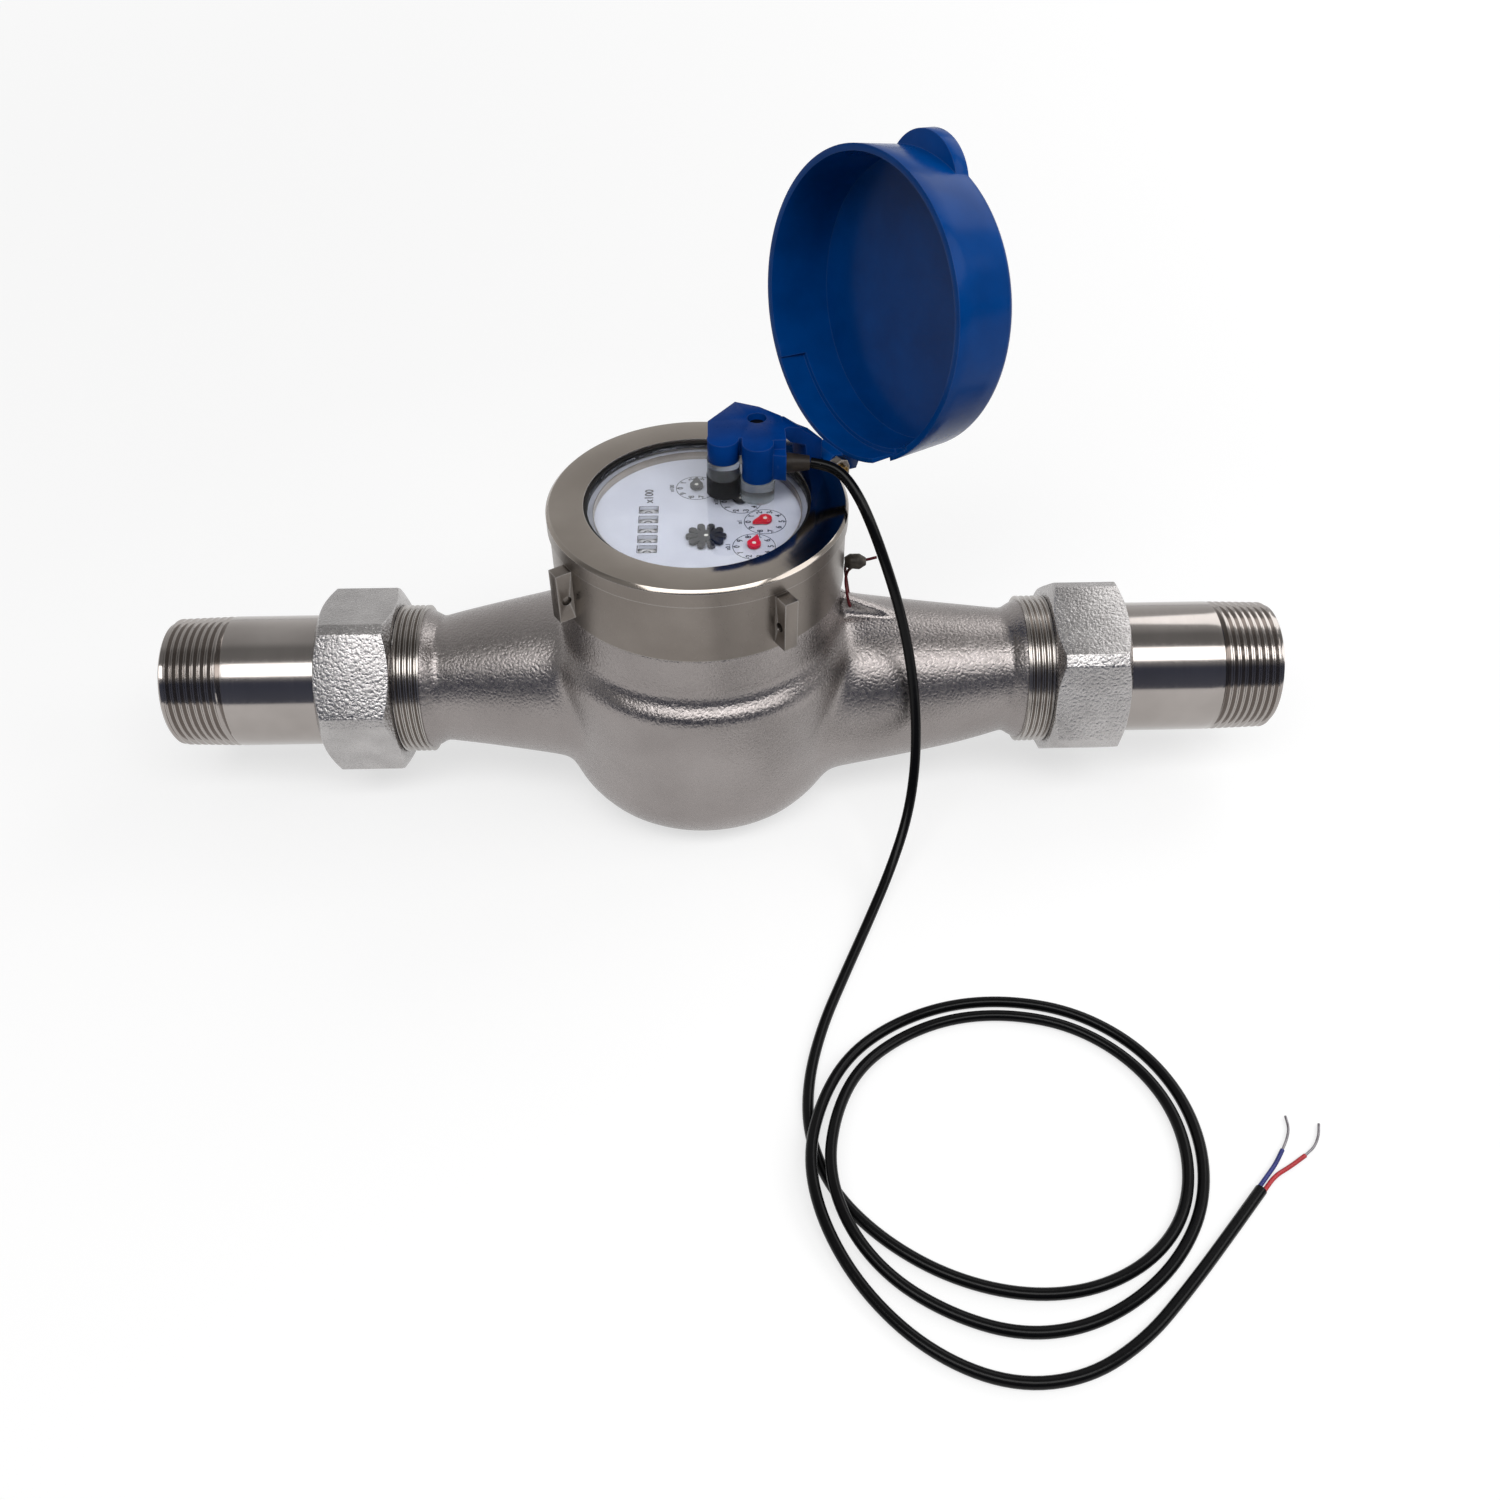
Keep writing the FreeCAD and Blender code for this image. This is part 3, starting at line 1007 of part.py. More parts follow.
def build_train():
    """Register train from the magnet wheel over star wheel and intermediate wheels to the pointers."""
    arbor_base = "(train_floor - train_plate)"
    arbor_top = "(train_roof + train_plate)"
    dial_end = "(pointer_base + pointer_thick)"
    hole = "arbor + arbor_clearance"
    centre = ("0", "0")
    star = ("star_x", "star_y")
    reach, heading = spacing(centre, star)
    drive_module = f"({reach} / drive_teeth)"
    magnet_base = "(case_floor + magnet_gap)"
    magnet_top = f"({magnet_base} + frame_base - 2 * magnet_gap)"
    magnet_wheel = new_arbor("magnet_wheel", magnet_base, arbor_top)
    gear(magnet_wheel, drive_module, "drive_teeth", heading, 0)
    turned("driven_magnet", ring_points("arbor", "magnet", magnet_base, magnet_top))
    star_arbor = new_arbor("star_arbor", arbor_base, dial_end)
    gear(star_arbor, drive_module, "drive_teeth", f"({heading} + 180 deg + 180 deg / drive_teeth)", 0)
    stops = [star, *POINTERS]
    bodies = [star_arbor]
    holes = [centre, star]
    level = 1
    for index, target in enumerate(POINTERS, start=1):
        source = stops[index - 1]
        reach, heading = spacing(source, target)
        module = f"(2 * {reach} / (2 * pinion_teeth + first_teeth + second_teeth))"
        share = "((pinion_teeth + first_teeth) / (2 * pinion_teeth + first_teeth + second_teeth))"
        between = tuple(f"({a} + {share} * ({b} - ({a})))" for a, b in zip(source, target))
        gear(bodies[-1], module, "pinion_teeth", heading, level)
        wheel = new_arbor(f"intermediate_wheel_{index}", arbor_base, arbor_top)
        gear(wheel, module, "first_teeth", f"({heading} + 180 deg + 180 deg / first_teeth)", level)
        gear(wheel, module, "pinion_teeth", heading, level + 1)
        pointer_wheel = new_arbor(f"pointer_wheel_{index}", arbor_base, dial_end)
        facing = f"({heading} + 180 deg + 180 deg / second_teeth)"
        gear(pointer_wheel, module, "second_teeth", facing, level + 1)
        place(wheel, between[0], between[1])
        bodies.append(pointer_wheel)
        holes += [between, target]
        level = level + 2 if level == 1 else 1
    for body, (x, y) in zip(bodies, stops):
        place(body, x, y)
    for index, ((x, y), angle) in enumerate(zip(POINTERS, POINTER_TURNS), start=1):
        build_pointer(f"pointer_{index}", x, y, angle)
    build_star_wheel()
    lower = new_body("lower_train_plate")
    pad(lower, disc(lower, "train_radius", "XY_Plane", arbor_base), "train_plate")
    post = pad(lower, disc(lower, "pillar", "XY_Plane", "train_floor", "pillar_reach", "0"), "train_gap")
    foot = pad(lower, disc(lower, "pillar", "XY_Plane", "case_floor", "pillar_reach", "0"), "frame_base")
    repeat(lower, [post, foot], "pillars")
    upper = new_body("upper_train_plate")
    pad(upper, disc(upper, "train_radius", "XY_Plane", "train_roof"), "train_plate")
    beyond = f"(train_radius + {PAST})"
    clearing = box_points(f"-{beyond}", "train_edge", f"-{beyond}", beyond)
    pocket(upper, outline(upper, clearing, "XY_Plane", arbor_top), "train_plate")
    for body, face in ((lower, "train_floor"), (upper, arbor_top)):
        for x, y in holes:
            pocket(body, disc(body, hole, "XY_Plane", face, x, y), "train_plate")


def build_pointer(label, x, y, angle):
    """Dial pointer with a round end and a short tip."""
    body = new_body(label)
    pad(body, disc(body, "pointer_hub", "XY_Plane", "pointer_base"), "pointer_thick")
    neck = "pointer_tip - tip_long"
    root = "(tip_share * pointer_hub)"
    tip = outline(body, [
        ("0", f"-{root}"), (neck, "-tip_half"), ("pointer_tip", "0"), (neck, "tip_half"), ("0", root),
    ], "XY_Plane", "pointer_base")
    pad(body, tip, "pointer_thick")
    pocket(body, disc(body, "arbor", "XY_Plane", "pointer_base + pointer_thick"), "pointer_thick")
    place(body, x, y, "0", UP, str(angle))


def build_star_wheel():
    """Star-shaped flow indicator over the dial."""
    body = new_body("star_wheel")
    pad(body, disc(body, "star_hub", "XY_Plane", "pointer_base"), "pointer_thick")
    petal = outline(body, [
        ("star_hub - petal_bite", "-petal_root"), ("star - petal_round", "-petal_half"),
        ("star - petal_corner", "-petal_end"), ("star", "0"), ("star - petal_corner", "petal_end"),
        ("star - petal_round", "petal_half"), ("star_hub - petal_bite", "petal_root"),
    ], "XY_Plane", "pointer_base")
    repeat(body, [pad(body, petal, "pointer_thick")], "petals")
    pocket(body, disc(body, "arbor", "XY_Plane", "pointer_base + pointer_thick"), "pointer_thick")
    place(body, "star_x", "star_y")


def build_counter():
    """Five number wheels on a shaft, their transfer pinions and the bracket that carries them."""
    across = VECTOR(1, 0, 0)
    hole = "(count_shaft + spindle_clearance)"
    side = "(count_wide / 2)"
    track = "(count_wheel - track_deep)"
    for index in range(WHEELS):
        body = turned(f"number_wheel_{index + 1}", [
            (hole, f"-{side}"), (track, f"-{side}"), (track, f"-{side} + count_track"),
            ("count_wheel", f"-{side} + count_track"), ("count_wheel", side), (hole, side),
        ])
        place(body, "count_x", f"count_first + {index} * count_pitch", "count_axis", across, "-90")
    middle = f"(count_first + {(WHEELS - 1) / 2} * count_pitch)"
    half = f"({WHEELS / 2} * count_pitch + slip_clearance)"
    end = f"({half} + cheek_thick)"
    shaft = turned("number_shaft", ring_points("0", "count_shaft", f"-{end}", end))
    place(shaft, "count_x", middle, "count_axis", across, "-90")
    transfer_axis = "(count_axis - count_wheel - transfer_wheel - slip_clearance)"
    pinions = new_body("transfer_pinions")
    turn(pinions, ring_points("0", "arbor", f"-{end}", end))
    for index in range(WHEELS - 1):
        start = f"({index} - {(WHEELS - 2) / 2}) * count_pitch - transfer_wide / 2"
        pad(pinions, disc(pinions, "transfer_wheel", "XY_Plane", start), "transfer_wide")
    place(pinions, "count_x", middle, transfer_axis, across, "-90")
    bracket = new_body("counter_bracket")
    floor = box_points("count_x - count_wheel", "count_x + count_wheel",
                       f"{middle} - {end}", f"{middle} + {end}")
    floor_top = f"({transfer_axis} - transfer_wheel - slip_clearance)"
    pad(bracket, outline(bracket, floor, "XY_Plane", "train_floor"), f"{floor_top} - train_floor")
    for start in (f"{middle} - {end}", f"{middle} + {half}"):
        upright = box_points("count_x - cheek_half", "count_x + cheek_half",
                             "train_floor", "count_axis + cheek_over")
        pad(bracket, outline(bracket, upright, "XZ_Plane", f"-({start}) - cheek_thick"), "cheek_thick")
    beyond = f"({end} + {PAST})"
    for radius, height in (("count_shaft", "count_axis"), ("arbor + arbor_clearance", transfer_axis)):
        eye = disc(bracket, radius, "XZ_Plane", f"-({middle} + {beyond})", "count_x", height)
        pocket(bracket, eye, f"2 * {beyond}", True)


def hinge_line(reach, offset):
    """Place given by its reach towards the hinge and its offset across that line."""
    return (f"(({reach}) * cos(hinge_turn) - ({offset}) * sin(hinge_turn))",
            f"(({reach}) * sin(hinge_turn) + ({offset}) * cos(hinge_turn))")


def build_sensor_housing():
    """Moulded sensor housing: head, two posts, cable block and the arm that reaches to the hinge."""
    under = "(sensor_top - sensor_thick)"
    left = "(post_one_x - post + head_inset)"
    inner = "(post_two_x - post)"
    body = new_body("sensor_housing")
    head = outline(body, [
        (left, "post_one_y"), ("post_one_x + post - head_neck", "post_one_y"),
        (inner, "post_two_y + head_notch"), (inner, "post_two_y + head_front"),
        ("grommet_face", "post_two_y + head_front"), ("grommet_face", "head_side"),
        ("head_shoulder_x", "head_shoulder_y"), ("head_back_x", "head_back_y"),
        ("head_peak_x", "head_peak_y"), (left, "post_one_y + post + head_corner"),
    ], "XY_Plane", under)
    pad(body, head, "sensor_thick")
    posts = (("post_one_x", "post_one_y", "post_one_low"), ("post_two_x", "post_two_y", "post_two_low"))
    for x, y, low in posts:
        pad(body, disc(body, "post", "XY_Plane", low, x, y), f"sensor_top - {low}")
    block = outline(body, [
        ("post_two_x + post - block_bite", "post_two_y - block_front"),
        ("grommet_face", "post_two_y - block_flare"), ("grommet_face", "post_two_y + block_side"),
        ("post_two_x + block_heel", "post_two_y + block_back"),
        ("post_two_x", "post_two_y + block_root"), ("post_two_x", "post_two_y"),
    ], "XY_Plane", "post_two_low")
    pad(body, block, "grommet_height + grommet + block_cover - post_two_low")
    arm_half = "(arm_wide / 2)"
    sections = []
    for height, far, deep in (
        ("ring_top", "arm_foot", "arm_foot_deep"),
        ("ring_top + arm_foot_tall", "arm_foot", "(arm_foot_deep + arm_foot_slope)"),
        ("sensor_top - arm_knee_drop", "arm_knee", "arm_deep"),
        ("sensor_top - arm_neck_drop", "arm_neck", "arm_neck_deep"),
        ("sensor_top", "arm_head", "arm_head_deep"),
    ):
        near = f"{far} - {deep}"
        corners = [hinge_line(near, f"-{arm_half}"), hinge_line(far, f"-{arm_half}"),
                   hinge_line(far, arm_half), hinge_line(near, arm_half)]
        sections.append(outline(body, corners, "XY_Plane", height))
    arm = feature(body, "AdditiveLoft", sections[0])
    arm.Sections = sections[1:]
    arm.Ruled = True
    boss_low = "screw_seat - screw_run - screw_floor"
    boss = disc(body, "screw_hole + screw_wall", "XY_Plane", boss_low, "screw_x", "screw_y")
    pad(body, boss, "screw_run + screw_floor")
    pocket(body, disc(body, "screw_hole", "XY_Plane", "sensor_top", "screw_x", "screw_y"), "screw_sink")
    pocket(body, disc(body, "screw_shank", "XY_Plane", "screw_seat", "screw_x", "screw_y"), "screw_run")
    shaft = disc(body, "reed", "XY_Plane", "post_two_low", "post_two_x", "post_two_y")
    pocket(body, shaft, "reed_floor + reed_tall", True)
    seat = disc(body, "grommet_plug", "YZ_Plane", "grommet_face", "grommet_y", "grommet_height")
    pocket(body, seat, "grommet_depth")


def build_sensor_details():
    """Feet, sockets, screw, reed capsule and cable grommet of the pulse sensor."""
    foot = turned("sensor_foot", ring_points("0", "foot", "lens_top", "foot_top"))
    place(foot, "post_one_x", "post_one_y")
    sleeve = turned("sensor_sleeve", ring_points("0", "foot - sleeve_in", "foot_top", "post_one_low"))
    place(sleeve, "post_one_x", "post_one_y")
    socket = turned("sensor_socket", ring_points("0", "foot", "lens_top", "post_two_low"))
    place(socket, "post_two_x", "post_two_y")
    shank_end = "(screw_seat - screw_run)"
    head = "(screw_hole - slip_clearance)"
    head_top = "(screw_seat + screw_head_thick)"
    screw = turned("sensor_screw", [
        ("0", shank_end), ("screw_shank", shank_end), ("screw_shank", "screw_seat"), (head, "screw_seat"),
        (head, head_top), ("0", head_top),
    ])
    place(screw, "screw_x", "screw_y")
    reed = turned("reed_capsule", ring_points("0", "reed", "reed_low", "reed_low + reed_tall"))
    place(reed, "post_two_x", "post_two_y")
    grommet = turned("cable_grommet", [
        ("0", "-grommet_depth"), ("grommet_plug", "-grommet_depth"), ("grommet_plug", "0"),
        ("grommet", "0"), ("grommet", "grommet_collar"), ("grommet_tip", "grommet_run"),
        ("0", "grommet_run"),
    ])
    place(grommet, "grommet_face", "grommet_y", "grommet_height", VECTOR(0, 1, 0), "90")


# Route of the signal cable from the grommet over the cap ring and down to the floor, where it
# lies in two loose turns and runs out to its bare end.
CABLE_ROUTE = [
    (33.5, 4.6, 115.0), (38.8, 4.3, 114.3), (43.6, 1.9, 112.0), (47.8, -2.8, 107.4),
    (51.6, -8.4, 100.6), (55.8, -13.8, 90.6), (60.4, -17.8, 77.0), (64.3, -22.2, 61.0),
    (66.6, -28.6, 45.0), (66.8, -36.6, 30.0), (64.2, -47.0, 17.0), (58.0, -60.4, 7.2),
    (50.0, -77.0, 2.4), (41.5, -96.0, 1.7), (33.4, -115.0, 1.7), (28.4, -133.4, 1.7),
    (27.8, -150.0, 1.7), (33.0, -166.0, 1.7), (44.4, -179.6, 1.7), (60.2, -190.2, 1.7),
    (78.4, -195.6, 1.7), (96.2, -194.8, 1.7), (112.4, -187.6, 1.7), (124.0, -175.4, 1.7),
    (129.2, -159.0, 1.7), (127.8, -142.0, 1.7), (119.6, -127.0, 1.7), (105.6, -116.0, 1.7),
    (88.6, -111.6, 1.7), (71.6, -112.4, 1.7), (55.8, -118.8, 2.0), (42.8, -130.2, 4.0),
    (35.2, -145.6, 5.8), (32.2, -162.4, 5.8), (36.6, -178.2, 3.8), (46.4, -190.6, 1.7),
    (60.4, -200.0, 1.7), (76.0, -205.2, 1.7), (91.6, -204.2, 1.7), (106.4, -197.8, 1.7),
    (119.8, -187.0, 1.7), (129.6, -172.6, 1.7), (133.6, -155.4, 1.7), (131.2, -138.0, 1.7),
    (122.4, -122.6, 1.7), (107.6, -111.4, 1.7), (89.6, -106.8, 1.7), (71.4, -107.6, 1.7),
    (54.2, -114.2, 2.0), (40.2, -126.0, 4.0), (31.4, -142.0, 5.8), (27.0, -159.0, 5.8),
    (30.0, -176.4, 3.8), (39.2, -193.8, 1.7), (53.8, -209.0, 1.7), (71.8, -217.2, 1.7),
    (90.2, -216.2, 1.7), (106.4, -207.4, 1.7), (120.4, -194.4, 1.7), (133.4, -181.2, 1.7),
    (145.6, -168.5, 1.7),
]
RED_ROUTE = [(146.18, -168.98, 1.7), (150.34, -164.65, 1.6), (155.4, -161.8, 1.2), (160.4, -158.6, 1.1)]
RED_STRAND_ROUTE = [(160.4, -158.6, 1.1), (163.8, -156.0, 1.0), (166.0, -152.6, 0.9), (167.2, -149.0, 0.8)]
BLUE_ROUTE = [(145.1, -167.94, 1.7), (148.29, -164.62, 1.6), (151.7, -161.0, 1.2), (154.8, -156.8, 1.1)]
BLUE_STRAND_ROUTE = [(154.8, -156.8, 1.1), (157.0, -153.6, 1.0), (158.6, -150.2, 0.9), (158.8, -146.4, 0.8)]
WIRE_ROUTE = [
    ("seal_at + 2 * seal_half", "seal_shift", "seal_height + wire_lift"),
    ("seal_at + seal_half", "seal_shift", "seal_height + wire_lift / 3"),
    ("seal_at", "wire_side / 2", "seal_height - wire_lift"),
    ("neck + wire_slack + wire", "4 * wire_lift", "ring_base - 2 * wire_lift"),
    ("web_hole_at", "wire_side", "web_hole_height"),
    ("web_hole_at", "-wire_side", "web_hole_height"),
    ("web_hole_at - wire_slack", "-wire_side", "web_top"),
    ("neck + wire_slack + wire", "2 * wire_lift", "ring_base - 3 * wire_lift"),
    ("seal_at", "-wire_side / 2", "seal_height - wire_lift / 2"),
]


def rounded_path(route):
    """Straight runs joined by tangent arcs, each as large as its two runs allow."""
    points = [VECTOR(*(number(part) for part in point)) for point in route]
    edges = []
    start = points[0]
    for before, corner, after in zip(points, points[1:], points[2:]):
        back = before - corner
        ahead = after - corner
        half_turn = (back * -1).getAngle(ahead) / 2
        cut = CORNER_SHARE * min(back.Length, ahead.Length)
        back.normalize()
        ahead.normalize()
        enter = corner + back * cut
        leave = corner + ahead * cut
        radius = cut / tan(half_turn)
        inward = back + ahead
        inward.normalize()
        middle = corner + inward * (radius / cos(half_turn) - radius)
        edges.append(Part.LineSegment(start, enter).toShape())
        edges.append(Part.Arc(enter, middle, leave).toShape())
        start = leave
    edges.append(Part.LineSegment(start, points[-1]).toShape())
    return Part.Wire(edges)


def build_tube(label, route, radius):
    """Round tube along a route."""
    path = rounded_path(route)
    first = path.Edges[0]
    start = first.FirstParameter
    circle = Part.Circle(first.valueAt(start), first.tangentAt(start), number(radius))
    shape = path.makePipeShell([Part.Wire(circle.toShape())], True, False)
    print(f"{label}: length {path.Length:.1f} mm")
    item = doc.addObject("Part::Feature", label)
    item.Label = label
    item.Shape = shape
    item.Placement = FreeCAD.Placement()
    PARTS.append(item)
    return item


def build_cable_and_seal():
    """Signal cable with its two bared cores, and the lead seal on its wire."""
    build_tube("signal_cable", CABLE_ROUTE, "cable")
    build_tube("red_core", RED_ROUTE, "core")
    build_tube("blue_core", BLUE_ROUTE, "core")
    strands = [build_tube("red_strand", RED_STRAND_ROUTE, "strand"),
               build_tube("blue_strand", BLUE_STRAND_ROUTE, "strand")]
    share_node("bare_strands", strands)
    build_tube("seal_wire", WIRE_ROUTE, "wire")
    seal = turned("lead_seal", [
        ("0", "-seal_half"), ("seal_foot", "-seal_half"), ("seal_round", "seal_foot_long - seal_half"),
        ("seal_round", "seal_half - seal_nose_long"), ("seal_nose", "seal_half"), ("0", "seal_half"),
    ])
    place(seal, "seal_at", "seal_shift", "seal_height", VECTOR(0, 1, 0), "90")


def check_and_write():
    """Refuse a failed piece, then write each sub-part to its own file."""
    doc.recompute()
    for item in doc.Objects:
        if "Invalid" in item.State or "Error" in item.State:
            raise RuntimeError(f"{item.Label} of {item.TypeId} failed: {item.State}")
    os.makedirs("parts", exist_ok=True)
    for item in PARTS:
        shape = item.Shape
        if shape.isNull() or not shape.isValid() or shape.Volume <= 0:
            raise RuntimeError(f"{item.Label} has no sound shape")
        print(f"{item.Label}: {shape.Volume:.1f} mm3, solids {len(shape.Solids)}")
        shape.exportStep(f"parts/{item.Label}.step")


fill_sheet()
build_meter_body()
build_union("outlet", "-1", "outlet_reach", "outlet_nut_turn")
build_union("inlet", "1", "inlet_reach", "inlet_nut_turn")
share_node("union_gaskets", GASKETS)
build_cap_ring()
build_lid()
build_hinge_pin()
build_lens_and_case()
build_measuring_unit()
build_train()
build_counter()
build_sensor_housing()
build_sensor_details()
build_cable_and_seal()
check_and_write()
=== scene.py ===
import logging
import math
from dataclasses import dataclass, field
from enum import Enum
from typing import Callable, Iterable, Sequence

import bmesh
import bpy
from mathutils import Matrix, Vector, noise


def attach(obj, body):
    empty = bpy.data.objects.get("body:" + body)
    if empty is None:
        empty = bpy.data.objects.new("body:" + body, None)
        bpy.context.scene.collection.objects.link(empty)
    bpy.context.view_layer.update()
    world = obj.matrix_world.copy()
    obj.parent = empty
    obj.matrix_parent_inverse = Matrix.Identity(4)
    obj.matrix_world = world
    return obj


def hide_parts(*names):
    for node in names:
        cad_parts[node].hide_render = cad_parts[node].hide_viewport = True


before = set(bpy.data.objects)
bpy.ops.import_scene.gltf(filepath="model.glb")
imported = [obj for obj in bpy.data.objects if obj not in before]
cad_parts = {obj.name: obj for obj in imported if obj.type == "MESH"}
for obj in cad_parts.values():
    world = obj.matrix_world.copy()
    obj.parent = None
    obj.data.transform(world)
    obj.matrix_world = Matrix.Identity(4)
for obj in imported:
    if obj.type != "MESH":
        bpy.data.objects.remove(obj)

Colour = tuple[float, float, float]
Point = tuple[float, float, float]
Mesh = bmesh.types.BMesh
Socket = bpy.types.NodeSocket

MM = 0.001
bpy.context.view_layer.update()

# Sizes in mm: the pipe axis over the floor, and how close points have to lie to be one.
PIPE_AXIS = 38.0
CAD_SEAM = 0.002
SEAM = 0.01
SPECK = 0.005

# Turns in degrees: under the first a CAD mesh is flat, over the second its edge is broken.
FLAT_TURN = 0.4
CRISP_TURN = 28.0

# Where noise turns into a finish's second tone and its gloss, and how edges are painted lighter, partly as
# rubbed wear and partly as a painted edge highlight.
TONE_RANGE = (0.35, 0.65)
GRAIN_RANGE = (0.3, 0.7)
SMOOTHEST = 0.02
EDGE_WEAR_AND_HIGHLIGHT_WIDTH = 0.6
EDGE_WEAR_AND_HIGHLIGHT_RANGE = (0.995, 0.9)
EDGE_WEAR_AND_HIGHLIGHT_LIGHTER = 0.55

DIGITS = 10

log = logging.getLogger("water_meter")


def srgb(red: int, green: int, blue: int) -> Colour:
    """Turn a colour as it is seen, 0 to 255, into the linear values that a shader takes."""
    def linear(part: int) -> float:
        """Turn one part of the colour."""
        share = part / 255
        return share / 12.92 if share <= 0.04045 else ((share + 0.055) / 1.055) ** 2.4
    return linear(red), linear(green), linear(blue)


def grey(level: float) -> Colour:
    """Colour with the same linear value in each part."""
    return level, level, level


def show(made: bpy.types.Object) -> None:
    """Put an object into the scene."""
    bpy.context.scene.collection.objects.link(made)


def ease(share: float) -> float:
    """Smooth step from 0 to 1."""
    share = min(max(share, 0.0), 1.0)
    return share * share * (3 - 2 * share)


class PipeEnd(Enum):
    """The two ends of the pipe line, with the way each one faces along the pipe."""

    OUTLET = -1
    INLET = 1

    @property
    def label(self) -> str:
        """Name of the end as the nodes carry it."""
        return self.name.lower()

    @property
    def heading(self) -> Matrix:
        """Turn that lays a piece built along +X onto this end."""
        return Matrix.Rotation(0.0 if self is PipeEnd.INLET else math.pi, 4, "Z")


class NodeSheet:
    """A material's or a world's node tree, filled node by node."""

    def __init__(self, tree: bpy.types.NodeTree) -> None:
        """Start with an empty tree."""
        self.tree = tree
        tree.nodes.clear()

    def add(self, kind: str, inputs: dict | None = None, **settings: object) -> bpy.types.Node:
        """Add a node.

        Args:
            kind: Blender's name of the node type.
            inputs: values, or output sockets to link, by input name or number.
            settings: properties of the node.

        Returns:
            The new node.
        """
        node = self.tree.nodes.new(kind)
        for name, value in settings.items():
            setattr(node, name, value)
        for name, value in (inputs or {}).items():
            if isinstance(value, Socket):
                self.tree.links.new(value, node.inputs[name])
            else:
                node.inputs[name].default_value = value
        return node

    def maths(self, operation: str, first: object, second: object = 0.0) -> Socket:
        """Combine two values or sockets with one operation."""
        return self.add("ShaderNodeMath", {0: first, 1: second}, operation=operation).outputs[0]

    def blend(self, share: object, first: object, second: object) -> Socket:
        """Mix two colours by a share."""
        node = self.add("ShaderNodeMix", {0: share}, data_type="RGBA")
        for socket, value in ((node.inputs[6], first), (node.inputs[7], second)):
            if isinstance(value, Socket):
                self.tree.links.new(value, socket)
            else:
                socket.default_value = (*value, 1.0)
        return node.outputs[2]


class Grain(Enum):
    """Way a finish's fine marks run."""

    EVEN = "the same every way"
    TURNED_ON_PIPE = "round the pipe axis"
    TURNED_ON_BOWL = "round the bowl axis"

    def lay(self, sheet: NodeSheet, place: Socket) -> Socket:
        """Lay the coordinates that the marks follow.

        Args:
            sheet: the tree to work in.
            place: the point on the surface.

        Returns:
            The point itself, or its place along the turning axis and its distance from it.
        """
        if self is Grain.EVEN:
            return place
        x, y, z = sheet.add("ShaderNodeSeparateXYZ", {0: place}).outputs
        if self is Grain.TURNED_ON_PIPE:
            along, side, rise = x, y, sheet.maths("SUBTRACT", z, PIPE_AXIS * MM)
        else:
            along, side, rise = z, x, y
        side_square = sheet.maths("MULTIPLY", side, side)
        square = sheet.maths("ADD", side_square, sheet.maths("MULTIPLY", rise, rise))
        return sheet.add("ShaderNodeCombineXYZ", {0: along, 1: sheet.maths("SQRT", square)}).outputs[0]


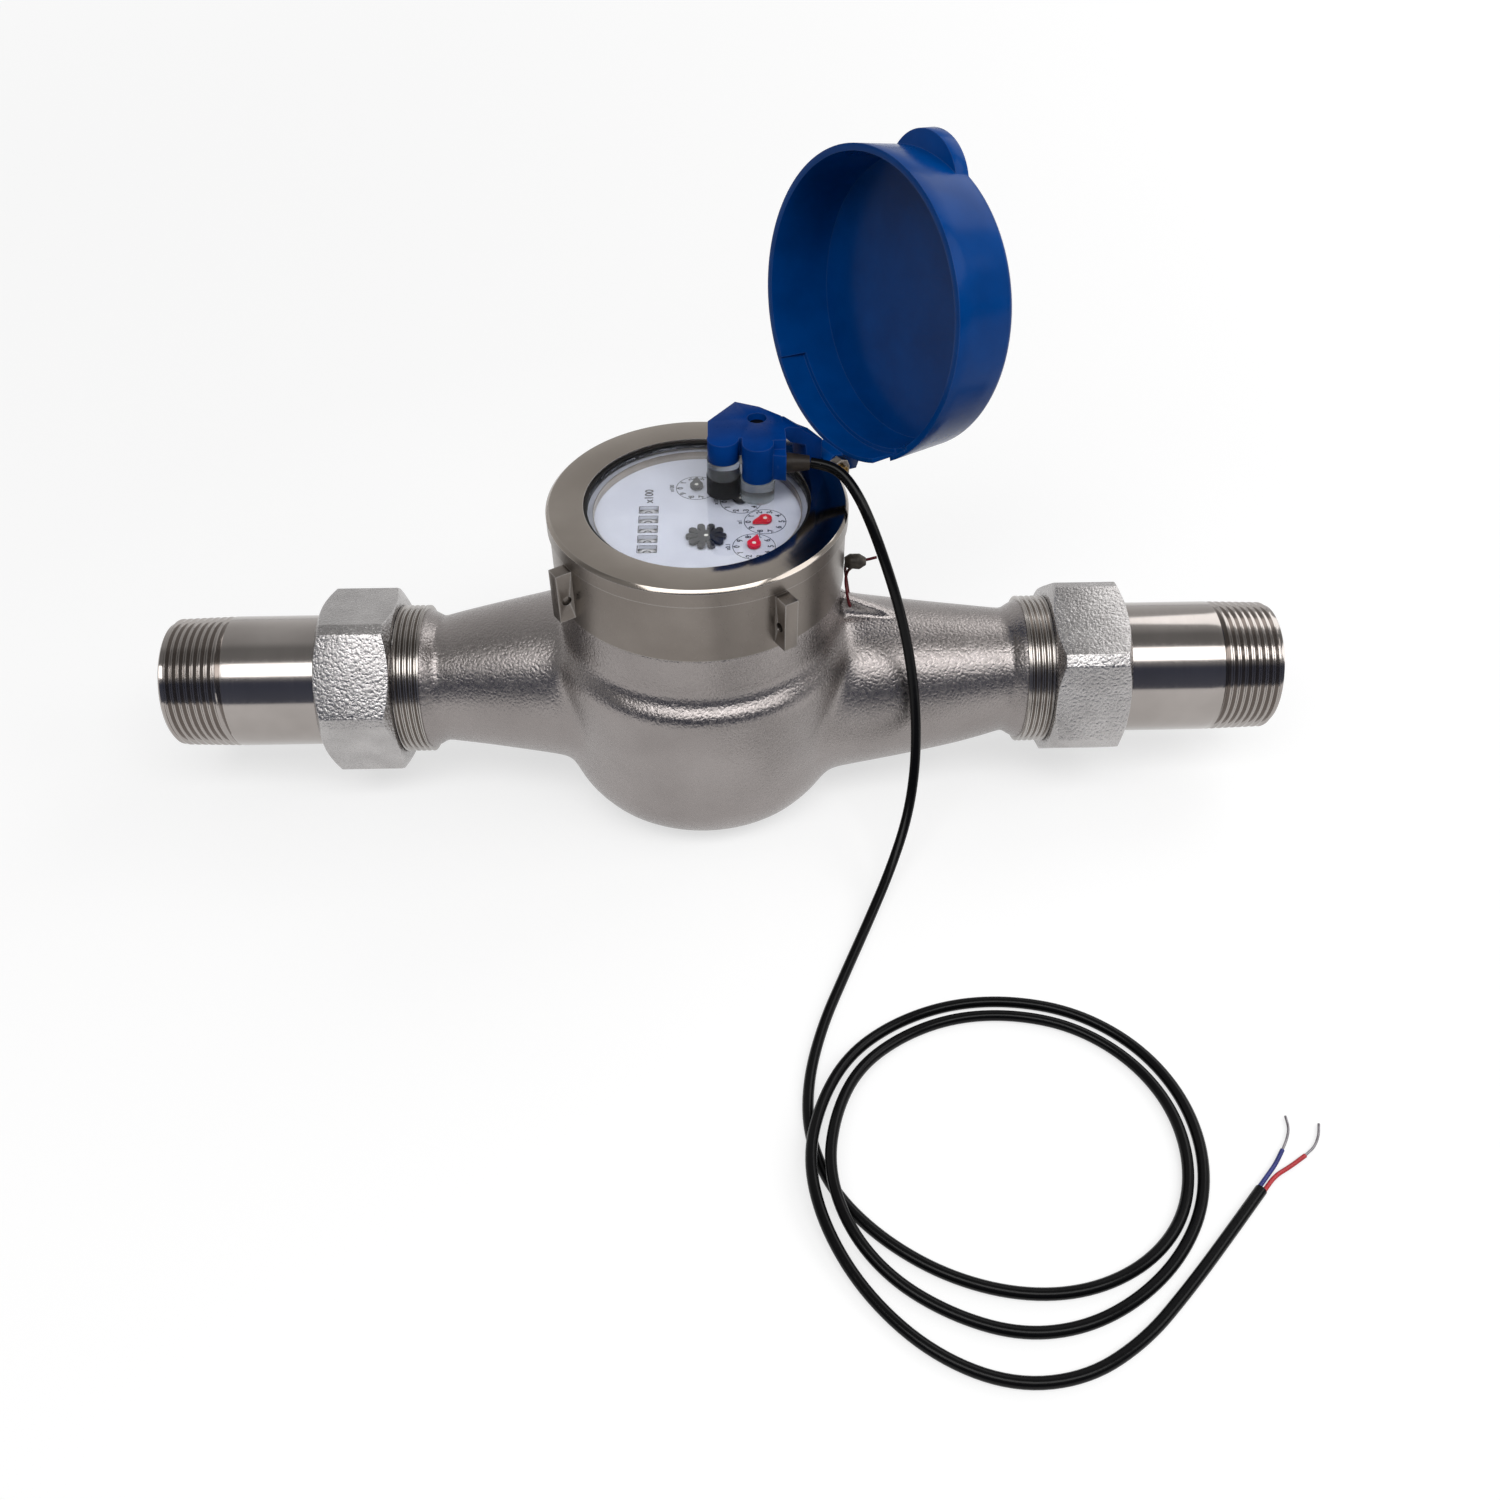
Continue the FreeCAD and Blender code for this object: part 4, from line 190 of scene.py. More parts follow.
@dataclass(frozen=True)
class Finish:
    """A surface: two close colours in patches, a fine grain in relief and gloss, and edges painted lighter
    as wear and as a painted highlight.

    Gloss is the roughness and how far the grain swings it. Texture is the scale of the patches and of the
    grain, both per metre, and the grain's relief in mm. The edge share is how much of a lighter colour
    edges show, partly rubbed wear and partly a painted highlight, and clear is the share of light let
    through.
    """

    name: str
    colour: Colour
    shade: Colour
    gloss: tuple[float, float]
    texture: tuple[float, float, float]
    metallic: float = 0.0
    # Share of a lighter colour on edges: rubbed wear and a painted edge highlight.
    worn: float = 0.0
    specular: float = 0.5
    clear: float = 0.0
    ior: float = 1.5
    marks: Grain = Grain.EVEN

    def material(self) -> bpy.types.Material:
        """Return the finish's material, made the first time it is asked for."""
        label = f"{self.name}_finish"
        known = bpy.data.materials.get(label)
        if known:
            return known
        made = bpy.data.materials.new(label)
        made.use_nodes = True
        made.diffuse_color = (*self.colour, 1.0)
        self.lay(NodeSheet(made.node_tree))
        return made

    def lay(self, sheet: NodeSheet) -> None:
        """Lay the finish's nodes."""
        place = sheet.add("ShaderNodeTexCoord").outputs["Object"]
        run = self.marks.lay(sheet, place)
        patch, fine, relief = self.texture
        grain = sheet.add("ShaderNodeTexNoise", {"Vector": run, "Scale": fine, "Detail": 3.0}).outputs[0]
        cloud = sheet.add("ShaderNodeTexNoise", {"Vector": place, "Scale": patch, "Detail": 4.0}).outputs[0]
        low, high = TONE_RANGE
        tone = sheet.add("ShaderNodeMapRange", {"Value": cloud, 1: low, 2: high}).outputs[0]
        colour = sheet.blend(tone, self.shade, self.colour)
        if self.worn:
            colour = self.wear(sheet, colour)
        low, high = GRAIN_RANGE
        rough, swing = self.gloss
        gloss = sheet.add("ShaderNodeMapRange", {
            "Value": grain, 1: low, 2: high, 3: max(rough - swing, SMOOTHEST), 4: rough + swing,
        }).outputs[0]
        raised = sheet.add("ShaderNodeBump", {
            "Height": grain, "Distance": relief * MM, "Strength": 1.0,
        }).outputs[0]
        shader = sheet.add("ShaderNodeBsdfPrincipled", {
            "Base Color": colour, "Roughness": gloss, "Metallic": self.metallic, "Normal": raised,
            "IOR": self.ior, "Specular IOR Level": self.specular, "Transmission Weight": self.clear,
        })
        sheet.add("ShaderNodeOutputMaterial", {"Surface": shader.outputs[0]})

    def wear(self, sheet: NodeSheet, colour: Socket) -> Socket:
        """Paint the colour lighter along edges, partly as rubbed wear and partly as a painted highlight.

        Args:
            sheet: the tree to work in.
            colour: the colour before the edges are lightened.

        Returns:
            The colour with its edges painted lighter.
        """
        soft = sheet.add("ShaderNodeBevel", {"Radius": EDGE_WEAR_AND_HIGHLIGHT_WIDTH * MM}, samples=4).outputs[0]
        flat = sheet.add("ShaderNodeNewGeometry").outputs["Normal"]
        along = sheet.add("ShaderNodeVectorMath", {0: soft, 1: flat}, operation="DOT_PRODUCT")
        start, full = EDGE_WEAR_AND_HIGHLIGHT_RANGE
        edge = sheet.add("ShaderNodeMapRange", {
            "Value": along.outputs["Value"], 1: start, 2: full, 3: 0.0, 4: self.worn,
        }).outputs[0]
        # Lighter edge colour: rubbed wear, and a painted highlight where rounded edges would catch light.
        lighter = tuple(part + (1 - part) * EDGE_WEAR_AND_HIGHLIGHT_LIGHTER for part in self.colour)
        return sheet.blend(edge, colour, lighter)


CAST_STEEL = Finish(
    "cast_steel", srgb(154, 148, 146), srgb(144, 138, 136), (0.28, 0.08), (40, 1250, 0.2), metallic=1.0)
TURNED_STEEL = Finish(
    "turned_steel", srgb(168, 162, 158), srgb(156, 150, 146), (0.13, 0.04), (40, 2600, 0.0012),
    metallic=1.0, marks=Grain.TURNED_ON_PIPE)
THREAD_STEEL = Finish(
    "thread_steel", srgb(160, 154, 149), srgb(142, 136, 131), (0.22, 0.06), (90, 2600, 0.002),
    metallic=1.0, worn=0.4, marks=Grain.TURNED_ON_PIPE)
NUT_STEEL = Finish(
    "nut_steel", srgb(184, 181, 180), srgb(168, 165, 164), (0.26, 0.08), (90, 1150, 0.3),
    metallic=1.0, worn=0.35)
RING_STEEL = Finish(
    "ring_steel", srgb(133, 126, 120), srgb(123, 116, 110), (0.32, 0.05), (45, 1800, 0.012),
    metallic=1.0, worn=0.4)
# Top face of the cap ring: a smoother turned finish that is also painted lighter than ring_steel, a painted
# highlight for the brighter light the top reflects.
TURNED_RING_TOP_PAINTED_LIGHTER = Finish(
    "ring_face", srgb(158, 150, 142), srgb(148, 140, 132), (0.13, 0.03), (45, 2400, 0.0004),
    metallic=1.0, worn=0.4, marks=Grain.TURNED_ON_BOWL)
BLUE_PLASTIC = Finish(
    "blue_plastic", srgb(0, 66, 138), srgb(0, 58, 124), (0.20, 0.05), (60, 700, 0.006),
    worn=0.04, specular=0.07)
SENSOR_BLUE = Finish(
    "sensor_blue", srgb(1, 60, 136), srgb(0, 52, 122), (0.34, 0.07), (90, 900, 0.01),
    worn=0.05, specular=0.04)
CLEAR_LENS = Finish(
    "clear_lens", (0.96, 0.97, 0.97), (0.95, 0.96, 0.97), (0.03, 0.01), (30, 200, 0.001),
    specular=0.12, clear=1.0, ior=1.45)
LENS_WALL = Finish(
    "lens_wall", srgb(150, 141, 132), srgb(112, 104, 97), (0.3, 0.1), (60, 700, 0.02),
    marks=Grain.TURNED_ON_BOWL)
CLEAR_SLEEVE = Finish(
    "clear_sleeve", (0.74, 0.78, 0.82), (0.66, 0.71, 0.76), (0.12, 0.05), (200, 900, 0.01),
    clear=0.9, ior=1.45)
BLACK_RUBBER = Finish(
    "black_rubber", srgb(20, 20, 21), srgb(13, 13, 14), (0.5, 0.1), (120, 1600, 0.02), specular=0.3)
BROWN_RUBBER = Finish(
    "brown_rubber", srgb(46, 38, 31), srgb(30, 25, 21), (0.5, 0.1), (200, 1600, 0.02), specular=0.3)
GREY_PLASTIC = Finish(
    "grey_plastic", srgb(176, 174, 170), srgb(162, 159, 154), (0.42, 0.1), (60, 900, 0.01))
DIAL_WHITE = Finish(
    "dial_white", srgb(192, 195, 208), srgb(183, 186, 200), (0.5, 0.08), (80, 1800, 0.004), specular=0.3)
DIAL_INK = Finish(
    "dial_ink", srgb(30, 30, 36), srgb(44, 44, 50), (0.55, 0.08), (300, 2400, 0.002), specular=0.3)
WHITE_PLASTIC = Finish(
    "white_plastic", srgb(216, 215, 210), srgb(204, 202, 195), (0.4, 0.1), (70, 1200, 0.008))
CHAMBER_PLASTIC = Finish(
    "chamber_plastic", srgb(70, 72, 76), srgb(58, 60, 64), (0.42, 0.1), (70, 1100, 0.012))
BRIGHT_STEEL = Finish(
    "bright_steel", srgb(176, 176, 176), srgb(152, 152, 154), (0.25, 0.08), (90, 3000, 0.004), metallic=1.0)
DARK_STEEL = Finish(
    "dark_steel", srgb(52, 50, 50), srgb(38, 37, 36), (0.4, 0.1), (90, 2000, 0.008), metallic=1.0)
MAGNET_GREY = Finish(
    "magnet_grey", srgb(74, 74, 78), srgb(58, 58, 62), (0.45, 0.1), (90, 1600, 0.012), metallic=0.4)
RED_PLASTIC = Finish(
    "red_plastic", srgb(206, 26, 46), srgb(184, 18, 38), (0.35, 0.08), (120, 1400, 0.006), specular=0.3)
DARK_PLASTIC = Finish(
    "dark_plastic", srgb(36, 36, 40), srgb(26, 26, 30), (0.4, 0.1), (120, 1400, 0.008), specular=0.3)
NUMBER_PLASTIC = Finish(
    "number_plastic", srgb(206, 206, 208), srgb(192, 192, 196), (0.42, 0.08), (90, 1500, 0.006))
REED_GLASS = Finish(
    "reed_glass", (0.70, 0.78, 0.74), (0.62, 0.72, 0.68), (0.08, 0.03), (90, 600, 0.002), clear=0.8)
BLACK_JACKET = Finish(
    "black_jacket", srgb(13, 13, 14), srgb(8, 8, 9), (0.2, 0.05), (60, 900, 0.006), specular=0.14)
BLUE_JACKET = Finish("blue_jacket", srgb(30, 44, 128), srgb(22, 34, 108), (0.34, 0.08), (200, 1500, 0.008))
RED_JACKET = Finish("red_jacket", srgb(190, 38, 46), srgb(170, 28, 38), (0.34, 0.08), (200, 1500, 0.008))
TINNED_COPPER = Finish(
    "tinned_copper", srgb(150, 146, 150), srgb(124, 120, 124), (0.3, 0.1), (400, 5000, 0.02), metallic=1.0)
COPPER_WIRE = Finish(
    "copper_wire", srgb(98, 26, 32), srgb(74, 20, 26), (0.42, 0.1), (300, 3000, 0.012), specular=0.2)
SEAL_LEAD = Finish(
    "seal_lead", srgb(76, 70, 62), srgb(48, 43, 38), (0.5, 0.14), (500, 2200, 0.05), metallic=0.4, worn=0.3)
BRASS = Finish(
    "brass", srgb(178, 152, 96), srgb(150, 122, 70), (0.28, 0.1), (120, 2600, 0.006),
    metallic=1.0, worn=0.3)


def dress(finish: Finish, *names: str) -> None:
    """Give CAD nodes a finish."""
    for name in names:
        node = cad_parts[name]
        node.data.materials.clear()
        node.data.materials.append(finish.material())
        log.info("dressed %s in %s", name, finish.name)


def piece(name: str, mesh: Mesh, finish: Finish, body: str,
          replaced: Sequence[str] = (), sharp: float = 35.0) -> bpy.types.Object:
    """Turn a mesh into a piece of the part.

    Args:
        name: the piece's name.
        mesh: its geometry in the row frame, in metres; freed here.
        finish: its surface.
        body: the body it rides on.
        replaced: CAD nodes that it stands in for.
        sharp: edges that turn by more degrees than this stay crisp.

    Returns:
        The new object.
    """
    bmesh.ops.recalc_face_normals(mesh, faces=mesh.faces)
    for face in mesh.faces:
        face.smooth = True
    for edge in mesh.edges:
        edge.smooth = len(edge.link_faces) == 2 and edge.calc_face_angle(math.pi) < math.radians(sharp)
    data = bpy.data.meshes.new(name)
    mesh.to_mesh(data)
    mesh.free()
    data.materials.append(finish.material())
    made = bpy.data.objects.new(name, data)
    show(made)
    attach(made, body)
    if replaced:
        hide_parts(*replaced)
    log.info("built %s with %d faces on %s", name, len(data.polygons), body)
    return made


def copy_of(node: str) -> Mesh:
    """Copy a CAD node's mesh with its doubled points joined."""
    mesh = bmesh.new()
    mesh.from_mesh(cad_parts[node].data)
    bmesh.ops.remove_doubles(mesh, verts=mesh.verts, dist=CAD_SEAM * MM)
    return mesh


def softened(node: str, width: float, segments: int = 2) -> Mesh:
    """Copy a CAD node with its sharp edges broken.

    Args:
        node: the CAD node.
        width: width of the broken edge in mm.
        segments: steps across the broken edge.

    Returns:
        The new mesh.
    """
    mesh = copy_of(node)
    bmesh.ops.dissolve_limit(mesh, angle_limit=math.radians(FLAT_TURN), verts=mesh.verts, edges=mesh.edges)
    crisp = [edge for edge in mesh.edges
             if len(edge.link_faces) == 2 and edge.calc_face_angle(0.0) > math.radians(CRISP_TURN)]
    bmesh.ops.bevel(mesh, geom=crisp, offset=width * MM, segments=segments, profile=0.5, affect="EDGES",
                    clamp_overlap=True)
    bmesh.ops.triangulate(mesh, faces=[face for face in mesh.faces if len(face.verts) > 4])
    return mesh


def reworked(mesh: Mesh, fit: Callable[[bpy.types.Object], None]) -> Mesh:
    """Run modifiers over a mesh.

    Args:
        mesh: the mesh to work on; freed here.
        fit: puts the modifiers on the object that holds the mesh.

    Returns:
        The worked mesh.
    """
    data = bpy.data.meshes.new("blank")
    mesh.to_mesh(data)
    mesh.free()
    holder = bpy.data.objects.new("blank", data)
    show(holder)
    fit(holder)
    ready = holder.evaluated_get(bpy.context.evaluated_depsgraph_get())
    made = bmesh.new()
    made.from_mesh(ready.data)
    bpy.data.objects.remove(holder)
    bpy.data.meshes.remove(data)
    return made


def true_round(made: bpy.types.Object, radii: Sequence[float], slack: float = 0.35,
               lean: float = 0.2) -> None:
    """Shade upright walls about the bowl axis as true cylinders.

    Args:
        made: the piece.
        radii: radii of its walls in mm.
        slack: how far a facet's middle may lie from its wall's radius in mm.
        lean: how far an upright facet's normal may rise or drop.
    """
    data = made.data
    normals = [Vector((0.0, 0.0, 0.0)) for _ in data.loops]
    for facet in data.polygons:
        reach = facet.center.xy.length / MM
        if abs(facet.normal.z) > lean or all(abs(reach - radius) > slack for radius in radii):
            continue
        for corner in facet.loop_indices:
            spot = data.vertices[data.loops[corner].vertex_index].co
            out = Vector((spot.x, spot.y, 0.0)).normalized()
            normals[corner] = out if out.dot(facet.normal) > 0 else -out
    data.normals_split_custom_set(normals)


def on_ring(along: float, radius: float, angle: float) -> Point:
    """Point, in metres, at a place along +X and a radius in mm, and an angle about that axis."""
    return along * MM, radius * math.cos(angle) * MM, radius * math.sin(angle) * MM


def lathe(mesh: Mesh, rings: Sequence[tuple[float, float]], columns: int,
          closed: bool = False) -> None:
    """Turn a profile about the pipe axis.

    Args:
        mesh: the mesh to add to.
        rings: places along +X and radii, in mm.
        columns: points round each ring.
        closed: whether the last ring joins the first.
    """
    grid = []
    for along, radius in rings:
        ring = []
        for column in range(columns):
            ring.append(mesh.verts.new(on_ring(along, radius, math.tau * column / columns)))
        grid.append(ring)
    pairs = list(zip(grid, grid[1:])) + ([(grid[-1], grid[0])] if closed else [])
    for near, far in pairs:
        for column in range(columns):
            after = (column + 1) % columns
            mesh.faces.new((near[column], near[after], far[after], far[column]))


@dataclass
class Thread:
    """Right-hand screw thread cut on a pipe, in mm along +X."""

    start: float
    end: float
    pitch: float
    crest: float
    depth: float
    taper: float = 0.0
    run_out: float = 0.0
    run_in: float = 0.0
    tip: float = 0.0
    columns: int = 96
    profile: tuple[tuple[float, float], ...] = ((0.0, 0.0), (0.2, 0.0), (0.52, 1.0), (0.68, 1.0))

    def radius(self, along: float, cut: float) -> float:
        """Radius of the thread at a place, for a share of the full cut."""
        deep = self.depth
        if self.run_out:
            deep *= ease((along - self.start) / self.run_out)
        if self.run_in:
            deep *= ease((self.end - along) / self.run_in)
        outside = self.crest - self.taper * (along - self.start) - cut * deep
        return min(outside, self.tip + (self.end - along)) if self.tip else outside

    def cut(self, mesh: Mesh) -> None:
        """Add the thread's skin to a mesh, with rows of points that follow the helix."""
        turns = math.ceil((self.end - self.start) / self.pitch) + 1
        steps = [(turn + share, cut) for turn in range(-1, turns + 1) for share, cut in self.profile]
        grid = []
        for column in range(self.columns):
            angle = math.tau * column / self.columns
            row = []
            for share, cut in steps:
                along = self.start + self.pitch * (share + column / self.columns)
                along = min(max(along, self.start), self.end)
                row.append(mesh.verts.new(on_ring(along, self.radius(along, cut), angle)))
            grid.append(row)
        lead = len(self.profile)
        for column in range(self.columns):
            last = column == self.columns - 1
            near, far, shift = grid[column], grid[0 if last else column + 1], lead if last else 0
            for step in range(len(steps) - 1 - shift):
                mesh.faces.new((near[step], far[step + shift], far[step + 1 + shift], near[step + 1]))


def close_seams(mesh: Mesh) -> None:
    """Join doubled points and drop the empty faces that the joining leaves."""
    bmesh.ops.remove_doubles(mesh, verts=mesh.verts, dist=SEAM * MM)
    bmesh.ops.dissolve_degenerate(mesh, edges=mesh.edges, dist=SPECK * MM)


def onto_pipe(mesh: Mesh, end: PipeEnd) -> None:
    """Lay a mesh built along +X onto the pipe axis at one end."""
    mesh.transform(Matrix.Translation((0, 0, PIPE_AXIS * MM)) @ end.heading)


@dataclass(frozen=True)
class Lamp:
    """A soft rectangular lamp: places and sides in mm, power in watts."""

    name: str
    place: Point
    aim: Point
    sides: tuple[float, float]
    power: float

    def hang(self) -> None:
        """Hang the lamp and point it at its aim."""
        data = bpy.data.lights.new(self.name, "AREA")
        data.shape = "RECTANGLE"
        data.size, data.size_y = (side * MM for side in self.sides)
        data.energy = self.power
        lamp = bpy.data.objects.new(self.name, data)
        turn = (Vector(self.aim) - Vector(self.place)).to_track_quat("-Z", "Y").to_matrix().to_4x4()
        lamp.matrix_world = Matrix.Translation(Vector(self.place) * MM) @ turn
        show(lamp)


@dataclass
class Studio:
    """Camera, floor, soft lamps and the surroundings that the metal mirrors; sizes in mm.

    Mirrored holds what the metal shows of the room: shares of the half turn from the front horizon over
    the top to the back, each with its colour.
    """

    eye: Point = (8.1, -350.9, 340.4)
    yaw: float = 1.19
    pitch: float = 43.9
    roll: float = -0.16
    lens: float = 33.72
    sensor: float = 36.0
    floor_half: float = 3000.0
    floor_tone: float = 0.4
    floor_lift: float = 0.66
    floor_far_lift: float = 0.9
    lift_near: float = 300.0
    lift_far: float = 1800.0
    sky: float = 0.22
    nearest: float = 10.0
    lamps: tuple[Lamp, ...] = (
        Lamp("front_lamp", (40, -576, 1058), (0, 0, 40), (1400, 480), 8.6),
        Lamp("back_lamp", (800, 700, 900), (0, 0, 60), (800, 700), 3.4),
        Lamp("right_lamp", (1000, -200, 800), (0, 0, 60), (700, 500), 2.8),
    )
    mirrored: tuple[tuple[float, Colour], ...] = (
        (0.0, (0.13, 0.14, 0.18)), (0.21, (0.07, 0.08, 0.12)), (0.27, grey(0.4)), (0.40, grey(0.4)),
        (0.43, grey(0.28)), (0.55, grey(0.28)), (0.62, grey(0.5)), (0.82, grey(0.66)), (1.0, grey(0.85)),
    )

    def build(self) -> None:
        """Set up everything that isn't the object."""
        scene = bpy.context.scene
        scene.view_settings.view_transform = "Standard"
        self.place_camera(scene)
        self.lay_floor()
        for lamp in self.lamps:
            lamp.hang()
        self.paint_surroundings(scene)
        log.info("built the studio")

    def place_camera(self, scene: bpy.types.Scene) -> None:
        """Stand the camera where the photograph was taken from."""
        yaw, pitch, roll = (math.radians(angle) for angle in (self.yaw, self.pitch, self.roll))
        ahead = Vector((math.sin(yaw) * math.cos(pitch), math.cos(yaw) * math.cos(pitch), -math.sin(pitch)))
        level = Vector((math.cos(yaw), -math.sin(yaw), 0.0))
        above = level.cross(ahead)
        right = math.cos(roll) * level + math.sin(roll) * above
        up = -math.sin(roll) * level + math.cos(roll) * above
        turn = Matrix((right, up, -ahead)).transposed().to_4x4()
        data = bpy.data.cameras.new("camera")
        data.lens = self.lens
        data.sensor_width = self.sensor
        data.clip_start = self.nearest * MM
        camera = bpy.data.objects.new("camera", data)
        camera.matrix_world = Matrix.Translation(Vector(self.eye) * MM) @ turn
        show(camera)
        scene.camera = camera

    def lay_floor(self) -> None:
        """Lay a plain pale floor that reads white to the eye and keeps the shadow."""
        mesh = bmesh.new()
        bmesh.ops.create_grid(mesh, x_segments=1, y_segments=1, size=self.floor_half * MM)
        data = bpy.data.meshes.new("floor")
        mesh.to_mesh(data)
        mesh.free()
        made = bpy.data.materials.new("pale_floor")
        made.use_nodes = True
        sheet = NodeSheet(made.node_tree)
        path = sheet.add("ShaderNodeLightPath").outputs
        seen = sheet.maths("MAXIMUM", path["Is Camera Ray"], path["Is Glossy Ray"])
        seen = sheet.maths("MAXIMUM", seen, path["Is Transmission Ray"])
        first = sheet.maths("LESS_THAN", path["Diffuse Depth"], 0.5)
        place = sheet.add("ShaderNodeTexCoord").outputs["Object"]
        away = sheet.add("ShaderNodeVectorMath", {0: place}, operation="LENGTH").outputs["Value"]
        level = sheet.add("ShaderNodeMapRange", {
            "Value": away, 1: self.lift_near * MM, 2: self.lift_far * MM,
            3: self.floor_lift, 4: self.floor_far_lift,
        }).outputs[0]
        lift = sheet.maths("MULTIPLY", sheet.maths("MULTIPLY", seen, first), level)
        matt = sheet.add("ShaderNodeBsdfDiffuse", {"Color": (*grey(self.floor_tone), 1.0)}).outputs[0]
        glow = sheet.add("ShaderNodeEmission", {"Strength": lift}).outputs[0]
        both = sheet.add("ShaderNodeAddShader", {0: matt, 1: glow}).outputs[0]
        sheet.add("ShaderNodeOutputMaterial", {"Surface": both})
        data.materials.append(made)
        floor = bpy.data.objects.new("floor", data)
        show(floor)

    def paint_surroundings(self, scene: bpy.types.Scene) -> None:
        """Paint a white room whose ceiling and front are dark in the metal's reflections."""
        world = bpy.data.worlds.new("room")
        world.use_nodes = True
        scene.world = world
        sheet = NodeSheet(world.node_tree)
        way = sheet.add("ShaderNodeTexCoord").outputs["Generated"]
        parts = sheet.add("ShaderNodeSeparateXYZ", {0: way}).outputs
        front = sheet.maths("MULTIPLY", parts[1], -1.0)
        angle = sheet.maths("DIVIDE", sheet.maths("ARCTAN2", parts[2], front), math.pi)
        ramp = sheet.add("ShaderNodeValToRGB", {"Fac": angle})
        while len(ramp.color_ramp.elements) < len(self.mirrored):
            ramp.color_ramp.elements.new(0.5)
        for stop, (where, colour) in zip(ramp.color_ramp.elements, self.mirrored):
            stop.position = where
            stop.color = (*colour, 1.0)
        path = sheet.add("ShaderNodeLightPath").outputs
        seen = sheet.blend(path["Is Glossy Ray"], grey(self.sky), ramp.outputs[0])
        first = sheet.maths("LESS_THAN", path["Diffuse Depth"], 0.5)
        through = sheet.maths("MULTIPLY", path["Is Transmission Ray"], first)
        clear = sheet.maths("MAXIMUM", path["Is Camera Ray"], through)
        seen = sheet.blend(clear, seen, grey(1.0))
        back = sheet.add("ShaderNodeBackground", {"Color": seen, "Strength": 1.0}).outputs[0]
        sheet.add("ShaderNodeOutputWorld", {"Surface": back})


